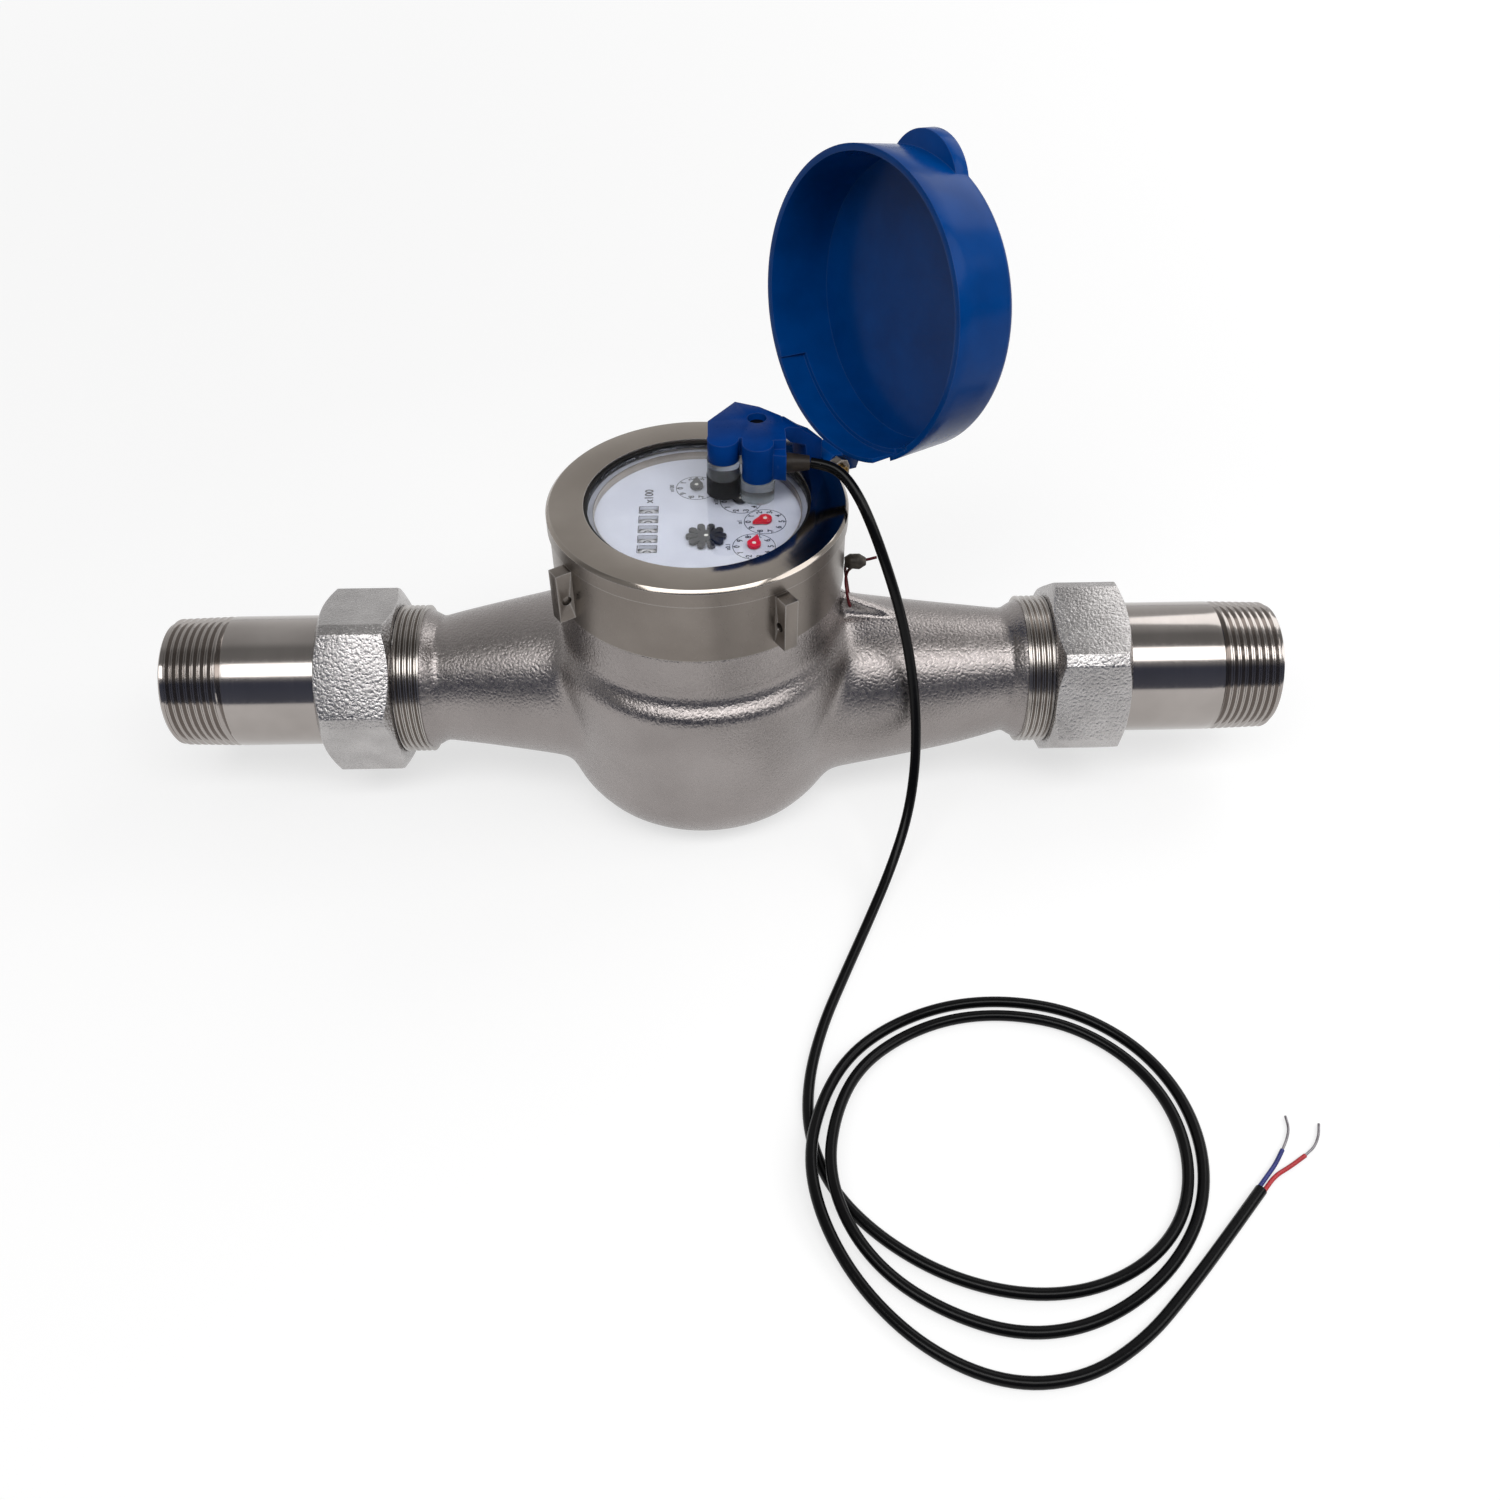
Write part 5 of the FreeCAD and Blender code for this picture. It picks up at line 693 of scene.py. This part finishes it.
@dataclass
class MeterBody:
    """Cast bowl with its pipe arms, and the end threads that show beside the nuts; sizes in mm."""

    voxel: float = 0.9
    smooth_passes: int = 7
    blend_passes: int = 90
    pass_share: float = 0.5
    least_share: float = 0.01
    base: float = 45.8
    shoulder: float = 48.0
    neck: float = 43.6
    shoulder_low: float = 60.0
    shoulder_high: float = 66.5
    bulge: float = 1.1
    bulge_low: float = 26.0
    bulge_run: float = 28.0
    roll: float = 6.6
    roll_turn: float = 52.0
    roll_low: float = 57.0
    roll_top: float = 72.0
    reach_slack: float = 1.1
    web_start: float = 41.0
    web_low: float = 56.0
    web_half: float = 4.0
    arm_start: float = 22.0
    arm_start_run: float = 10.0
    arm_stop: float = 84.0
    arm_stop_run: float = 14.0
    arm_top: float = 70.0
    arm_top_run: float = 6.0
    thread_floor: float = 22.4
    thread_fade: float = 0.6
    thread_columns: int = 120
    thread: dict[PipeEnd, tuple[float, float]] = field(default_factory=lambda: {
        PipeEnd.OUTLET: (88.35, 96.7), PipeEnd.INLET: (102.65, 111.0)})
    thread_pitch: float = 1.75
    thread_crest: float = 23.85
    thread_depth: float = 0.85

    def build(self) -> None:
        """Build the casting and its threads."""
        self.cast_skin()
        for end, (start, stop) in self.thread.items():
            self.end_thread(end, start, stop)

    def cast_skin(self) -> None:
        """Pour the body as a casting: smooth corners, a rolled shoulder, arms that flow into the bowl."""
        mesh = reworked(copy_of("meter_body"), self.pour)
        self.roll_shoulder(mesh)
        mesh = reworked(mesh, self.blend_arms)
        piece("cast_body", mesh, CAST_STEEL, "base", ["meter_body"], sharp=180.0)

    def pour(self, holder: bpy.types.Object) -> None:
        """Cover the body with an even skin whose corners are run smooth."""
        skin = holder.modifiers.new("skin", "REMESH")
        skin.mode = "VOXEL"
        skin.voxel_size = self.voxel * MM
        even = holder.modifiers.new("even", "SMOOTH")
        even.iterations = self.smooth_passes
        even.factor = self.pass_share

    def on_web(self, spot: Vector) -> bool:
        """Whether a point, in mm, belongs to the sealing web."""
        return spot.x > self.web_start and spot.z > self.web_low and abs(spot.y) < self.web_half

    def wall(self, height: float) -> float:
        """Radius of the plain bowl and neck at a height, in mm."""
        if height < self.shoulder_low:
            return self.base + (self.shoulder - self.base) * height / self.shoulder_low
        share = min((height - self.shoulder_low) / (self.shoulder_high - self.shoulder_low), 1.0)
        return self.shoulder + (self.neck - self.shoulder) * share

    def rolled(self, height: float) -> float:
        """Radius of the bowl and neck at a height with the rolled shoulder, in mm."""
        swell = self.bulge * ease((height - self.bulge_low) / self.bulge_run)
        full = self.wall(min(height, self.roll_low)) + swell
        turn = math.radians(self.roll_turn)
        arc_in, arc_up = self.roll * (1 - math.cos(turn)), self.roll * math.sin(turn)
        straight = max(full - self.neck - 2 * arc_in, 0.0) / math.tan(turn)
        above = height - self.roll_low
        below = 2 * arc_up + straight - above
        if above <= 0:
            return full
        if below <= 0:
            return self.neck
        if above < arc_up:
            return full - self.roll + math.sqrt(self.roll ** 2 - above ** 2)
        if below < arc_up:
            return self.neck + self.roll - math.sqrt(self.roll ** 2 - below ** 2)
        return full - arc_in - (above - arc_up) * math.tan(turn)

    def roll_shoulder(self, mesh: Mesh) -> None:
        """Round the shoulder over from the bowl to the neck."""
        for point in mesh.verts:
            spot = point.co / MM
            reach = spot.xy.length
            near = abs(reach - self.wall(spot.z)) < self.reach_slack
            if near and self.bulge_low < spot.z < self.roll_top and not self.on_web(spot):
                point.co.xy *= self.rolled(spot.z) / reach

    def blend_arms(self, holder: bpy.types.Object) -> None:
        """Run the arms into the bowl."""
        group = holder.vertex_groups.new(name="roots")
        for point in holder.data.vertices:
            spot = point.co / MM
            share = ease((abs(spot.x) - self.arm_start) / self.arm_start_run)
            share *= ease((self.arm_stop - abs(spot.x)) / self.arm_stop_run)
            share *= ease((self.arm_top - spot.z) / self.arm_top_run)
            if share > self.least_share and not self.on_web(spot):
                group.add([point.index], share, "REPLACE")
        flow = holder.modifiers.new("flow", "SMOOTH")
        flow.iterations = self.blend_passes
        flow.factor = self.pass_share
        flow.vertex_group = group.name

    def end_thread(self, end: PipeEnd, start: float, stop: float) -> None:
        """Cut the thread that shows between an arm's flare and its nut."""
        mesh = bmesh.new()
        thread = Thread(start, stop, self.thread_pitch, self.thread_crest, self.thread_depth,
                        run_out=self.thread_fade, run_in=self.thread_fade, columns=self.thread_columns)
        thread.cut(mesh)
        lathe(mesh, [(stop, self.thread_crest), (stop, self.thread_floor), (start, self.thread_floor),
                     (start, self.thread_crest)], thread.columns)
        close_seams(mesh)
        onto_pipe(mesh, end)
        piece(f"{end.label}_end_thread", mesh, THREAD_STEEL, "base")


@dataclass
class PipeUnion:
    """Union nut and threaded tailpiece of one pipe end; sizes in mm."""

    end: PipeEnd
    face: float
    bore: float = 17.5
    outside: float = 21.08
    flange: float = 22.4
    flange_thick: float = 5.0
    length: float = 58.9
    thread_run: float = 20.7
    thread_pitch: float = 2.21
    thread_depth: float = 1.15
    thread_taper: float = 0.03
    thread_fade: float = 2.6
    tip_chamfer: float = 0.15
    bore_round: tuple[tuple[float, float], ...] = ((0.2, 0.9), (1.1, 0.0))
    plain_run: float = 3.0
    edge: float = 0.45

    def build(self) -> None:
        """Build the tailpiece and the nut."""
        self.tailpiece()
        nut = f"{self.end.label}_nut"
        piece(f"{nut}_hexagon", softened(nut, self.edge), NUT_STEEL, nut, [nut],
              sharp=40.0)

    def tailpiece(self) -> None:
        """Turn the tailpiece and cut its pipe thread."""
        mesh = bmesh.new()
        tip = self.face + self.length
        start = tip - self.thread_run
        root = self.outside - self.thread_taper * self.thread_run - self.thread_depth
        nose = root - self.tip_chamfer
        thread = Thread(start, tip, self.thread_pitch, self.outside, self.thread_depth, self.thread_taper,
                        run_out=self.thread_fade, tip=nose)
        thread.cut(mesh)
        lip = self.face + self.flange_thick
        mouth = [(tip - back, self.bore + wider) for back, wider in self.bore_round]
        lathe(mesh, [
            (tip, nose), *mouth, (self.face, self.bore), (self.face, self.flange), (lip, self.flange),
            (lip, self.outside), (start - self.plain_run, self.outside), (start, self.outside),
        ], thread.columns)
        close_seams(mesh)
        onto_pipe(mesh, self.end)
        node = f"{self.end.label}_tailpiece"
        piece(f"{node}_turned", mesh, TURNED_STEEL, "base", [node], sharp=30.0)


@dataclass
class CapRing:
    """Screwed cap ring with lugs and hinge ears; sizes in mm."""

    edge: float = 0.5
    skirt: float = 44.2
    rim: float = 44.8
    top: float = 105.8
    face_slope: float = 0.3

    def build(self) -> None:
        """Build the ring with its edges broken and its top turned smoother, with a lighter colour painted
        on as a highlight for the brighter light the top reflects.
        """
        ring = piece("cap_ring_turned", softened("cap_ring", self.edge), RING_STEEL, "base",
                     ["cap_ring"], sharp=40.0)
        ring.data.materials.append(TURNED_RING_TOP_PAINTED_LIGHTER.material())
        # Upward faces at the top take the turned finish, whose lighter colour is a painted highlight.
        for facet in ring.data.polygons:
            level = facet.normal.z > self.face_slope and facet.center.z > (self.top - 2 * self.edge) * MM
            if level and facet.center.xy.length < self.rim * MM:
                facet.material_index = 1
        true_round(ring, (self.skirt, self.rim))


@dataclass
class Lid:
    """Hinged lid on its brass pin; sizes in mm."""

    edge: float = 0.35

    def build(self) -> None:
        """Build the lid and dress its pin."""
        piece("lid_moulding", softened("lid", self.edge), BLUE_PLASTIC, "lid", ["lid"],
              sharp=40.0)
        dress(BRASS, "hinge_pin")


@dataclass
class Marks:
    """Printed figures: flat characters, lines and rings that are given a little thickness, in mm."""

    thick: float = 0.03
    bold: float = 0.025
    curve_steps: int = 3
    known: dict[str, bpy.types.Mesh] = field(default_factory=dict)

    def character(self, text: str) -> bpy.types.Mesh:
        """Return a flat mesh of a text, one unit high and centred."""
        if text not in self.known:
            curve = bpy.data.curves.new("figure", "FONT")
            curve.body = text
            curve.align_x = "CENTER"
            curve.align_y = "CENTER"
            curve.resolution_u = self.curve_steps
            curve.offset = self.bold
            holder = bpy.data.objects.new("figure", curve)
            show(holder)
            ready = holder.evaluated_get(bpy.context.evaluated_depsgraph_get())
            self.known[text] = bpy.data.meshes.new_from_object(ready)
            bpy.data.objects.remove(holder)
            bpy.data.curves.remove(curve)
        return self.known[text]

    def stamp(self, mesh: Mesh, text: str, place: Matrix) -> list[bmesh.types.BMVert]:
        """Add a text to a mesh.

        Args:
            mesh: the mesh to add to.
            text: the characters.
            place: where they go, with their height in its scale.

        Returns:
            The points added.
        """
        before = len(mesh.verts)
        mesh.from_mesh(self.character(text))
        mesh.verts.ensure_lookup_table()
        added = mesh.verts[before:]
        bmesh.ops.transform(mesh, matrix=place, verts=added)
        return added

    def ring(self, mesh: Mesh, centre: Vector, radius: float, width: float,
             steps: int = 72) -> None:
        """Add a flat ring line, in metres."""
        inner, outer = [], []
        for step in range(steps):
            angle = math.tau * step / steps
            way = Vector((math.cos(angle), math.sin(angle), 0.0))
            inner.append(mesh.verts.new(centre + way * (radius - width / 2)))
            outer.append(mesh.verts.new(centre + way * (radius + width / 2)))
        for step in range(steps):
            after = (step + 1) % steps
            mesh.faces.new((inner[step], outer[step], outer[after], inner[after]))

    def bar(self, mesh: Mesh, first: Vector, last: Vector, width: float) -> None:
        """Add a flat straight line, in metres."""
        way = (last - first).normalized()
        across = Vector((-way.y, way.x, 0.0)) * width / 2
        mesh.faces.new([mesh.verts.new(corner) for corner in (
            first - across, last - across, last + across, first + across)])

    def thicken(self, mesh: Mesh) -> None:
        """Give the flat print its thickness."""
        bmesh.ops.recalc_face_normals(mesh, faces=mesh.faces)
        bmesh.ops.solidify(mesh, geom=mesh.faces[:], thickness=self.thick * MM)


@dataclass
class Register:
    """Dial, pointers, number wheels and train under the lens; sizes in mm."""

    dial_top: float = 98.6
    print_lift: float = 0.04
    pointers: tuple[tuple[float, float], ...] = ((16.4, -16.0), (20.0, -3.6), (13.0, 7.1), (-0.4, 14.7))
    ring: float = 6.2
    line: float = 0.22
    figure_reach: float = 4.95
    figure: float = 2.4
    tick: float = 0.8
    label: float = 1.9
    label_gap: float = 1.3
    factor_text: str = "x100"
    factor: float = 3.6
    factor_gap: float = 7.2
    frame_gap: float = 0.15
    multipliers: tuple[str, ...] = ("x0.1", "x1", "x10", "x100")
    wheel_x: float = -14.7
    wheel_z: float = 92.3
    wheel_first: float = -16.6
    wheel_pitch: float = 5.0
    wheel: float = 5.0
    wheels: int = 5
    wheel_figure: float = 3.6
    wheel_shift: float = 0.35
    wheel_lift: float = 0.02
    wheel_cuts: int = 6
    window_wide: float = 5.4
    window_long: float = 3.2
    wall: float = 31.0
    wall_thick: float = 0.15
    wall_low: float = 98.7
    wall_high: float = 101.1
    wall_columns: int = 128
    marks: Marks = field(default_factory=Marks)

    def build(self) -> None:
        """Dress the register and print its dial and wheels."""
        dress(DIAL_WHITE, "dial_plate")
        dress(GREY_PLASTIC, "register_case", "lower_train_plate", "upper_train_plate", "counter_bracket")
        dress(BLACK_RUBBER, "lens_gasket")
        dress(CLEAR_LENS, "lens")
        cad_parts["lens"].visible_shadow = False
        dress(WHITE_PLASTIC, "magnet_wheel", "star_arbor", "transfer_pinions",
              *(f"{kind}_wheel_{index + 1}" for kind in ("intermediate", "pointer")
                for index in range(len(self.pointers))))
        dress(MAGNET_GREY, "driven_magnet")
        dress(RED_PLASTIC, "pointer_1", "pointer_2")
        dress(DARK_PLASTIC, "pointer_3", "pointer_4", "star_wheel")
        dress(NUMBER_PLASTIC, *(f"number_wheel_{index + 1}" for index in range(self.wheels)))
        dress(BRIGHT_STEEL, "number_shaft")
        self.frost_lens()
        self.print_dial()
        for index in range(self.wheels):
            self.print_wheel(index)

    def frost_lens(self) -> None:
        """Frost the inner wall of the lens, which frames the dial."""
        mesh = bmesh.new()
        inner = self.wall - self.wall_thick
        lathe(mesh, [(self.wall_low, self.wall), (self.wall_high, self.wall), (self.wall_high, inner),
                     (self.wall_low, inner)], self.wall_columns, closed=True)
        mesh.transform(Matrix.Rotation(-math.pi / 2, 4, "Y"))
        piece("lens_wall", mesh, LENS_WALL, "base")

    def upright(self, x: float, y: float, height: float) -> Matrix:
        """Place for a figure on the dial: its head towards -X, reading along +Y."""
        spot = Matrix.Translation(Vector((x, y, self.dial_top + self.print_lift)) * MM)
        return spot @ Matrix.Rotation(math.pi / 2, 4, "Z") @ Matrix.Scale(height * MM, 4)

    def print_dial(self) -> None:
        """Print the small dials with their figures and multipliers, and frame the number windows."""
        mesh = bmesh.new()
        level = self.dial_top + self.print_lift
        for turn, ((x, y), label) in enumerate(zip(self.pointers, self.multipliers)):
            centre = Vector((x, y, level)) * MM
            self.marks.ring(mesh, centre, self.ring * MM, self.line * MM)
            sense = -1 if turn % 2 else 1
            for number in range(DIGITS):
                angle = math.pi + sense * math.tau * number / DIGITS
                way = Vector((math.cos(angle), math.sin(angle), 0.0))
                rim = centre + way * self.ring * MM
                self.marks.bar(mesh, centre + way * (self.ring - self.tick) * MM, rim, self.line * MM)
                at = Vector((x, y, 0.0)) + way * self.figure_reach
                self.marks.stamp(mesh, str(number), self.upright(at.x, at.y, self.figure))
            self.marks.stamp(mesh, label, self.upright(x - self.ring - self.label_gap, y, self.label))
        last = self.wheel_first + self.wheel_pitch * (self.wheels - 1)
        beside = self.upright(self.wheel_x, last + self.factor_gap, self.factor)
        self.marks.stamp(mesh, self.factor_text, beside)
        wide = self.window_wide / 2 + self.frame_gap
        tall = self.window_long / 2 + self.frame_gap
        for index in range(self.wheels):
            middle = self.wheel_first + self.wheel_pitch * index
            corners = [Vector((self.wheel_x + side * wide, middle + rise * tall, level)) * MM
                       for side, rise in ((-1, -1), (1, -1), (1, 1), (-1, 1))]
            for first, after in zip(corners, corners[1:] + corners[:1]):
                self.marks.bar(mesh, first, after, self.line * MM)
        self.marks.thicken(mesh)
        piece("dial_print", mesh, DIAL_INK, "base")

    def print_wheel(self, index: int) -> None:
        """Print ten figures round one number wheel."""
        mesh = bmesh.new()
        across = self.wheel_first + self.wheel_pitch * index + self.wheel_shift
        reach = self.wheel + self.wheel_lift
        strip = self.wheel_figure / (self.wheel_cuts + 1)
        for number in range(DIGITS):
            points = self.marks.stamp(mesh, str(number), Matrix.Scale(self.wheel_figure, 4))
            faces = list(dict.fromkeys(face for point in points for face in point.link_faces))
            for cut in range(self.wheel_cuts + 1):
                parts = [*faces, *(edge for face in faces for edge in face.edges),
                         *(corner for face in faces for corner in face.verts)]
                done = bmesh.ops.bisect_plane(
                    mesh, geom=list(dict.fromkeys(part for part in parts if part.is_valid)),
                    plane_co=(0, (cut - self.wheel_cuts / 2) * strip, 0), plane_no=(0, 1, 0))
                faces = [part for part in done["geom"] if isinstance(part, bmesh.types.BMFace)]
            for point in dict.fromkeys(corner for face in faces for corner in face.verts):
                angle = point.co.y / self.wheel + math.tau * number / DIGITS
                point.co = Vector((self.wheel_x - reach * math.sin(angle), across + point.co.x,
                                   self.wheel_z + reach * math.cos(angle))) * MM
        self.marks.thicken(mesh)
        piece(f"number_print_{index + 1}", mesh, DIAL_INK, f"number_wheel_{index + 1}")


class MeasuringUnit:
    """Wet side inside the bowl."""

    def build(self) -> None:
        """Dress the strainer, the chamber, the impeller and their seals."""
        dress(CHAMBER_PLASTIC, "measuring_chamber", "chamber_cover", "strainer")
        dress(WHITE_PLASTIC, "impeller", "pressure_plate")
        dress(MAGNET_GREY, "drive_magnet")
        dress(BRIGHT_STEEL, "impeller_pivot")
        dress(BLACK_RUBBER, "body_o_ring", "union_gaskets")


@dataclass
class PulseSensor:
    """Pulse sensor screwed on over the dial; sizes in mm."""

    edge: float = 0.5

    def build(self) -> None:
        """Build the housing and dress what belongs to it."""
        piece("sensor_moulding", softened("sensor_housing", self.edge), SENSOR_BLUE, "base",
              ["sensor_housing"], sharp=40.0)
        dress(BLACK_RUBBER, "sensor_foot")
        dress(BROWN_RUBBER, "cable_grommet")
        dress(CLEAR_SLEEVE, "sensor_sleeve", "sensor_socket")
        for node in ("sensor_sleeve", "sensor_socket"):
            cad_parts[node].visible_shadow = False
        dress(DARK_STEEL, "sensor_screw")
        dress(REED_GLASS, "reed_capsule")


@dataclass
class SignalCable:
    """Two-core cable from the sensor to its bared ends; sizes in mm."""

    radius: float = 1.6
    length: float = 1011.0
    bend_steps: int = 8
    round_steps: int = 5
    route: tuple[Point, ...] = (
        (33.5, 4.6, 115.0), (38.8, 4.3, 114.3), (43.6, 1.9, 112.0), (47.8, -2.8, 107.4),
        (51.6, -8.4, 100.6), (55.8, -13.8, 90.6), (60.4, -17.8, 77.0), (64.3, -22.2, 61.0),
        (66.6, -28.6, 45.0), (66.8, -36.6, 30.0), (64.2, -47.0, 17.0), (58.0, -60.4, 7.2),
        (50.0, -77.0, 2.4), (41.5, -96.0, 1.7), (33.4, -115.0, 1.7), (28.4, -133.4, 1.7),
        (27.8, -150.0, 1.7), (33.0, -166.0, 1.7), (44.4, -179.6, 1.7), (60.2, -190.2, 1.7),
        (78.4, -195.6, 1.7), (96.2, -194.8, 1.7), (112.4, -187.6, 1.7), (124.0, -175.4, 1.7),
        (129.2, -159.0, 1.7), (127.8, -142.0, 1.7), (119.6, -127.0, 1.7), (105.6, -116.0, 1.7),
        (88.6, -111.6, 1.7), (71.6, -112.4, 1.7), (55.8, -118.8, 2.0), (42.8, -130.2, 4.0),
        (35.2, -145.6, 5.8), (32.2, -162.4, 5.8), (36.6, -178.2, 3.8), (46.4, -190.6, 1.7),
        (60.4, -200.0, 1.7), (76.0, -205.2, 1.7), (91.6, -204.2, 1.7), (106.4, -197.8, 1.7),
        (119.8, -187.0, 1.7), (129.6, -172.6, 1.7), (133.6, -155.4, 1.7), (131.2, -138.0, 1.7),
        (122.4, -122.6, 1.7), (107.6, -111.4, 1.7), (89.6, -106.8, 1.7), (71.4, -107.6, 1.7),
        (54.2, -114.2, 2.0), (40.2, -126.0, 4.0), (31.4, -142.0, 5.8), (27.0, -159.0, 5.8),
        (30.0, -176.4, 3.8), (39.2, -193.8, 1.7), (53.8, -209.0, 1.7), (71.8, -217.2, 1.7),
        (90.2, -216.2, 1.7), (106.4, -207.4, 1.7), (120.4, -194.4, 1.7), (133.4, -181.2, 1.7),
        (145.6, -168.5, 1.7),
    )

    def build(self) -> None:
        """Lay the cable and dress its cores."""
        curve = bpy.data.curves.new("cable_jacket", "CURVE")
        curve.dimensions = "3D"
        curve.resolution_u = self.bend_steps
        curve.bevel_depth = self.radius * MM
        curve.bevel_resolution = self.round_steps
        curve.use_fill_caps = True
        line = curve.splines.new("NURBS")
        line.points.add(len(self.route) - 1)
        for point, place in zip(line.points, self.route):
            point.co = (*(Vector(place) * MM), 1.0)
        line.order_u = 3
        line.use_endpoint_u = True
        curve.materials.append(BLACK_JACKET.material())
        jacket = bpy.data.objects.new("cable_jacket", curve)
        show(jacket)
        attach(jacket, "base")
        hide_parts("signal_cable")
        dress(RED_JACKET, "red_core")
        dress(BLUE_JACKET, "blue_core")
        dress(TINNED_COPPER, "bare_strands")
        log.info("laid the cable")


@dataclass
class LeadSeal:
    """Squeezed lead on its sealing wire; sizes in mm."""

    dent: float = 0.35
    dent_size: float = 2.2
    longest: float = 0.8

    def build(self) -> None:
        """Dent the lead and dress the wire."""
        mesh = copy_of("lead_seal")
        long_edges = [edge for edge in mesh.edges if edge.calc_length() > self.longest * MM]
        bmesh.ops.subdivide_edges(mesh, edges=long_edges, cuts=2, use_grid_fill=True)
        bmesh.ops.triangulate(mesh, faces=mesh.faces)
        for point in mesh.verts:
            push = noise.noise(point.co / (self.dent_size * MM)) * self.dent * MM
            point.co += point.normal * min(push, 0.0)
        piece("lead_seal_squeezed", mesh, SEAL_LEAD, "base", ["lead_seal"], sharp=60.0)
        dress(COPPER_WIRE, "seal_wire")


def main() -> None:
    """Build the studio and the water meter, sub-assembly by sub-assembly."""
    logging.basicConfig(level=logging.INFO, format="%(name)s: %(message)s")
    Studio().build()
    SignalCable().build()
    MeterBody().build()
    PipeUnion(PipeEnd.OUTLET, face=111.8).build()
    PipeUnion(PipeEnd.INLET, face=126.1).build()
    CapRing().build()
    Lid().build()
    Register().build()
    MeasuringUnit().build()
    PulseSensor().build()
    LeadSeal().build()


if __name__ == "__main__":
    main()
